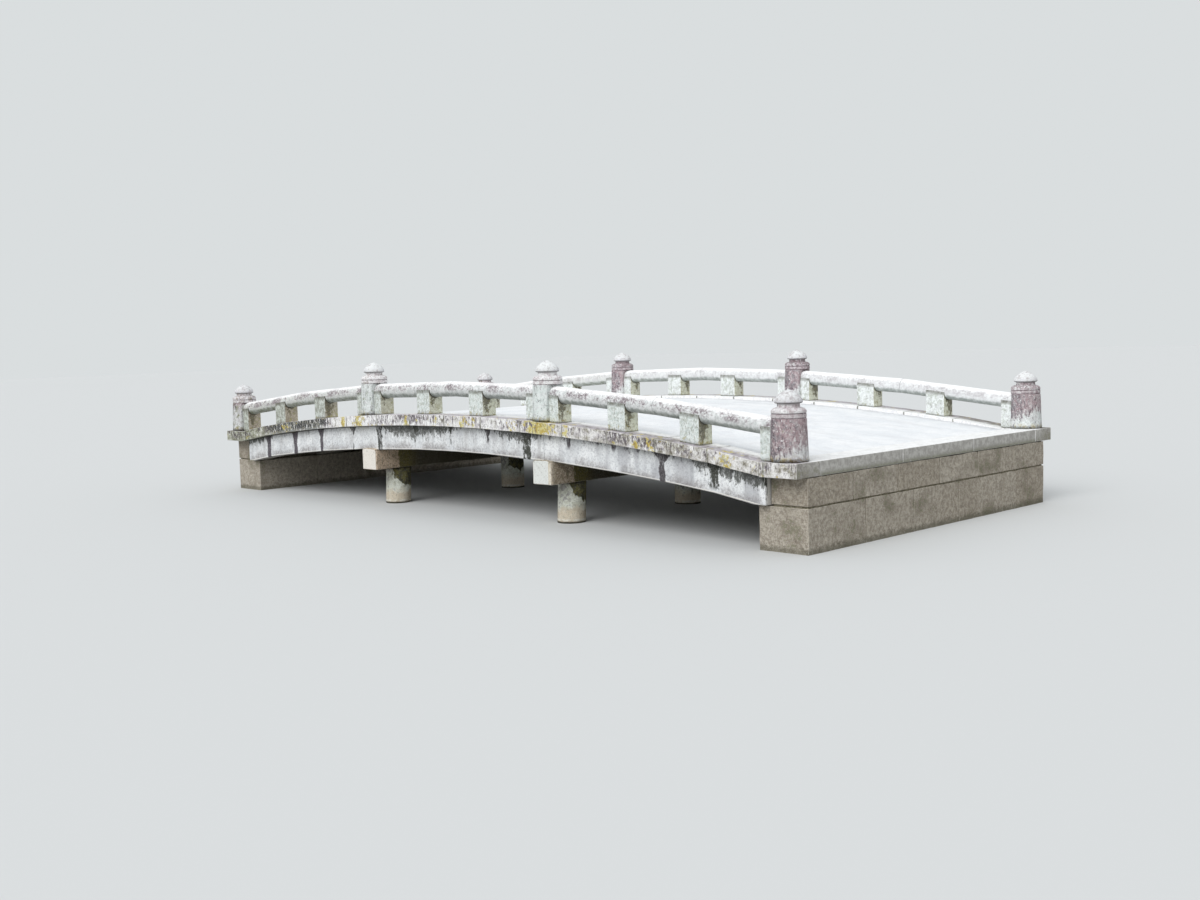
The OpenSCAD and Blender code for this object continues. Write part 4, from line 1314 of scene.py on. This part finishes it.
# Floor, background and light; colours as a shader takes them
FLOOR_HALF = 120
FLOOR_SEEN, FLOOR_CAST = (0.62, 0.63, 0.63, 1), (0.3, 0.3, 0.29, 1)
SKY_SEEN, SKY_CAST, SKY_STRENGTH = (0.7, 0.73, 0.738, 1), (0.95, 0.98, 1.0, 1), 0.8
SUN_FROM, SUN_STRENGTH, SUN_ANGLE = (0.2, -1.0, 0.85), 1.8, 0.7


def place_camera():
    """Looks along yaw (from +Y towards +X) and pitch (above the horizon), turned by roll about the view."""
    ahead = Vector((math.sin(YAW) * math.cos(PITCH), math.cos(YAW) * math.cos(PITCH), math.sin(PITCH)))
    level = Vector((math.cos(YAW), -math.sin(YAW), 0.0))
    upright = level.cross(ahead)
    right = level * math.cos(ROLL) + upright * math.sin(ROLL)
    up = upright * math.cos(ROLL) - level * math.sin(ROLL)
    turn = Matrix((right, up, -ahead)).transposed()
    data = bpy.data.cameras.new("camera")
    data.lens = LENS
    data.sensor_width = SENSOR
    data.clip_end = SIGHT
    cam = bpy.data.objects.new("camera", data)
    cam.matrix_world = Matrix.Translation(CAMERA_AT) @ turn.to_4x4()
    bpy.context.scene.collection.objects.link(cam)
    bpy.context.scene.camera = cam


def seen_ray(tree):
    """1 for what is seen, also in a mirror or through glass, 0 for the light that falls on the bridge."""
    path = tree.nodes.new("ShaderNodeLightPath")
    total = path.outputs["Is Camera Ray"]
    for ray in ("Is Glossy Ray", "Is Transmission Ray"):
        add = tree.nodes.new("ShaderNodeMath")
        add.operation = "MAXIMUM"
        tree.links.new(total, add.inputs[0])
        tree.links.new(path.outputs[ray], add.inputs[1])
        total = add.outputs[0]
    return total


def floor():
    """A pale floor. What it casts onto the bridge is darker than what the camera sees, as over water."""
    mesh = bpy.data.meshes.new("floor")
    mesh.from_pydata([(FLOOR_HALF * x, FLOOR_HALF * y, 0) for x, y in ((-1, -1), (1, -1), (1, 1), (-1, 1))],
                     [], [(0, 1, 2, 3)])
    finish = bpy.data.materials.new("pale_floor")
    finish.use_nodes = True
    tree = finish.node_tree
    shader = tree.nodes["Principled BSDF"]
    mix = tree.nodes.new("ShaderNodeMix")
    mix.data_type = "RGBA"
    tree.links.new(seen_ray(tree), mix.inputs[0])
    mix.inputs[6].default_value = FLOOR_CAST
    mix.inputs[7].default_value = FLOOR_SEEN
    tree.links.new(mix.outputs[2], shader.inputs["Base Color"])
    shader.inputs["Roughness"].default_value = 0.9
    mesh.materials.append(finish)
    obj = bpy.data.objects.new("floor", mesh)
    bpy.context.scene.collection.objects.link(obj)


def lights():
    """An even world, which the camera sees a little darker than it shines, and a soft sun lamp in front."""
    world = bpy.data.worlds.new("studio")
    bpy.context.scene.world = world
    world.use_nodes = True
    tree = world.node_tree
    cast = tree.nodes["Background"]
    cast.inputs[0].default_value = SKY_CAST
    cast.inputs[1].default_value = SKY_STRENGTH
    seen = tree.nodes.new("ShaderNodeBackground")
    seen.inputs[0].default_value = SKY_SEEN
    mix = tree.nodes.new("ShaderNodeMixShader")
    tree.links.new(seen_ray(tree), mix.inputs[0])
    tree.links.new(cast.outputs[0], mix.inputs[1])
    tree.links.new(seen.outputs[0], mix.inputs[2])
    tree.links.new(mix.outputs[0], tree.nodes["World Output"].inputs[0])
    sun = bpy.data.lights.new("soft_key", "SUN")
    sun.energy = SUN_STRENGTH
    sun.angle = SUN_ANGLE
    obj = bpy.data.objects.new("soft_key", sun)
    obj.rotation_euler = Vector(SUN_FROM).to_track_quat("Z", "Y").to_euler()
    bpy.context.scene.collection.objects.link(obj)


place_camera()
floor()
lights()
bpy.context.scene.view_settings.view_transform = "Standard"
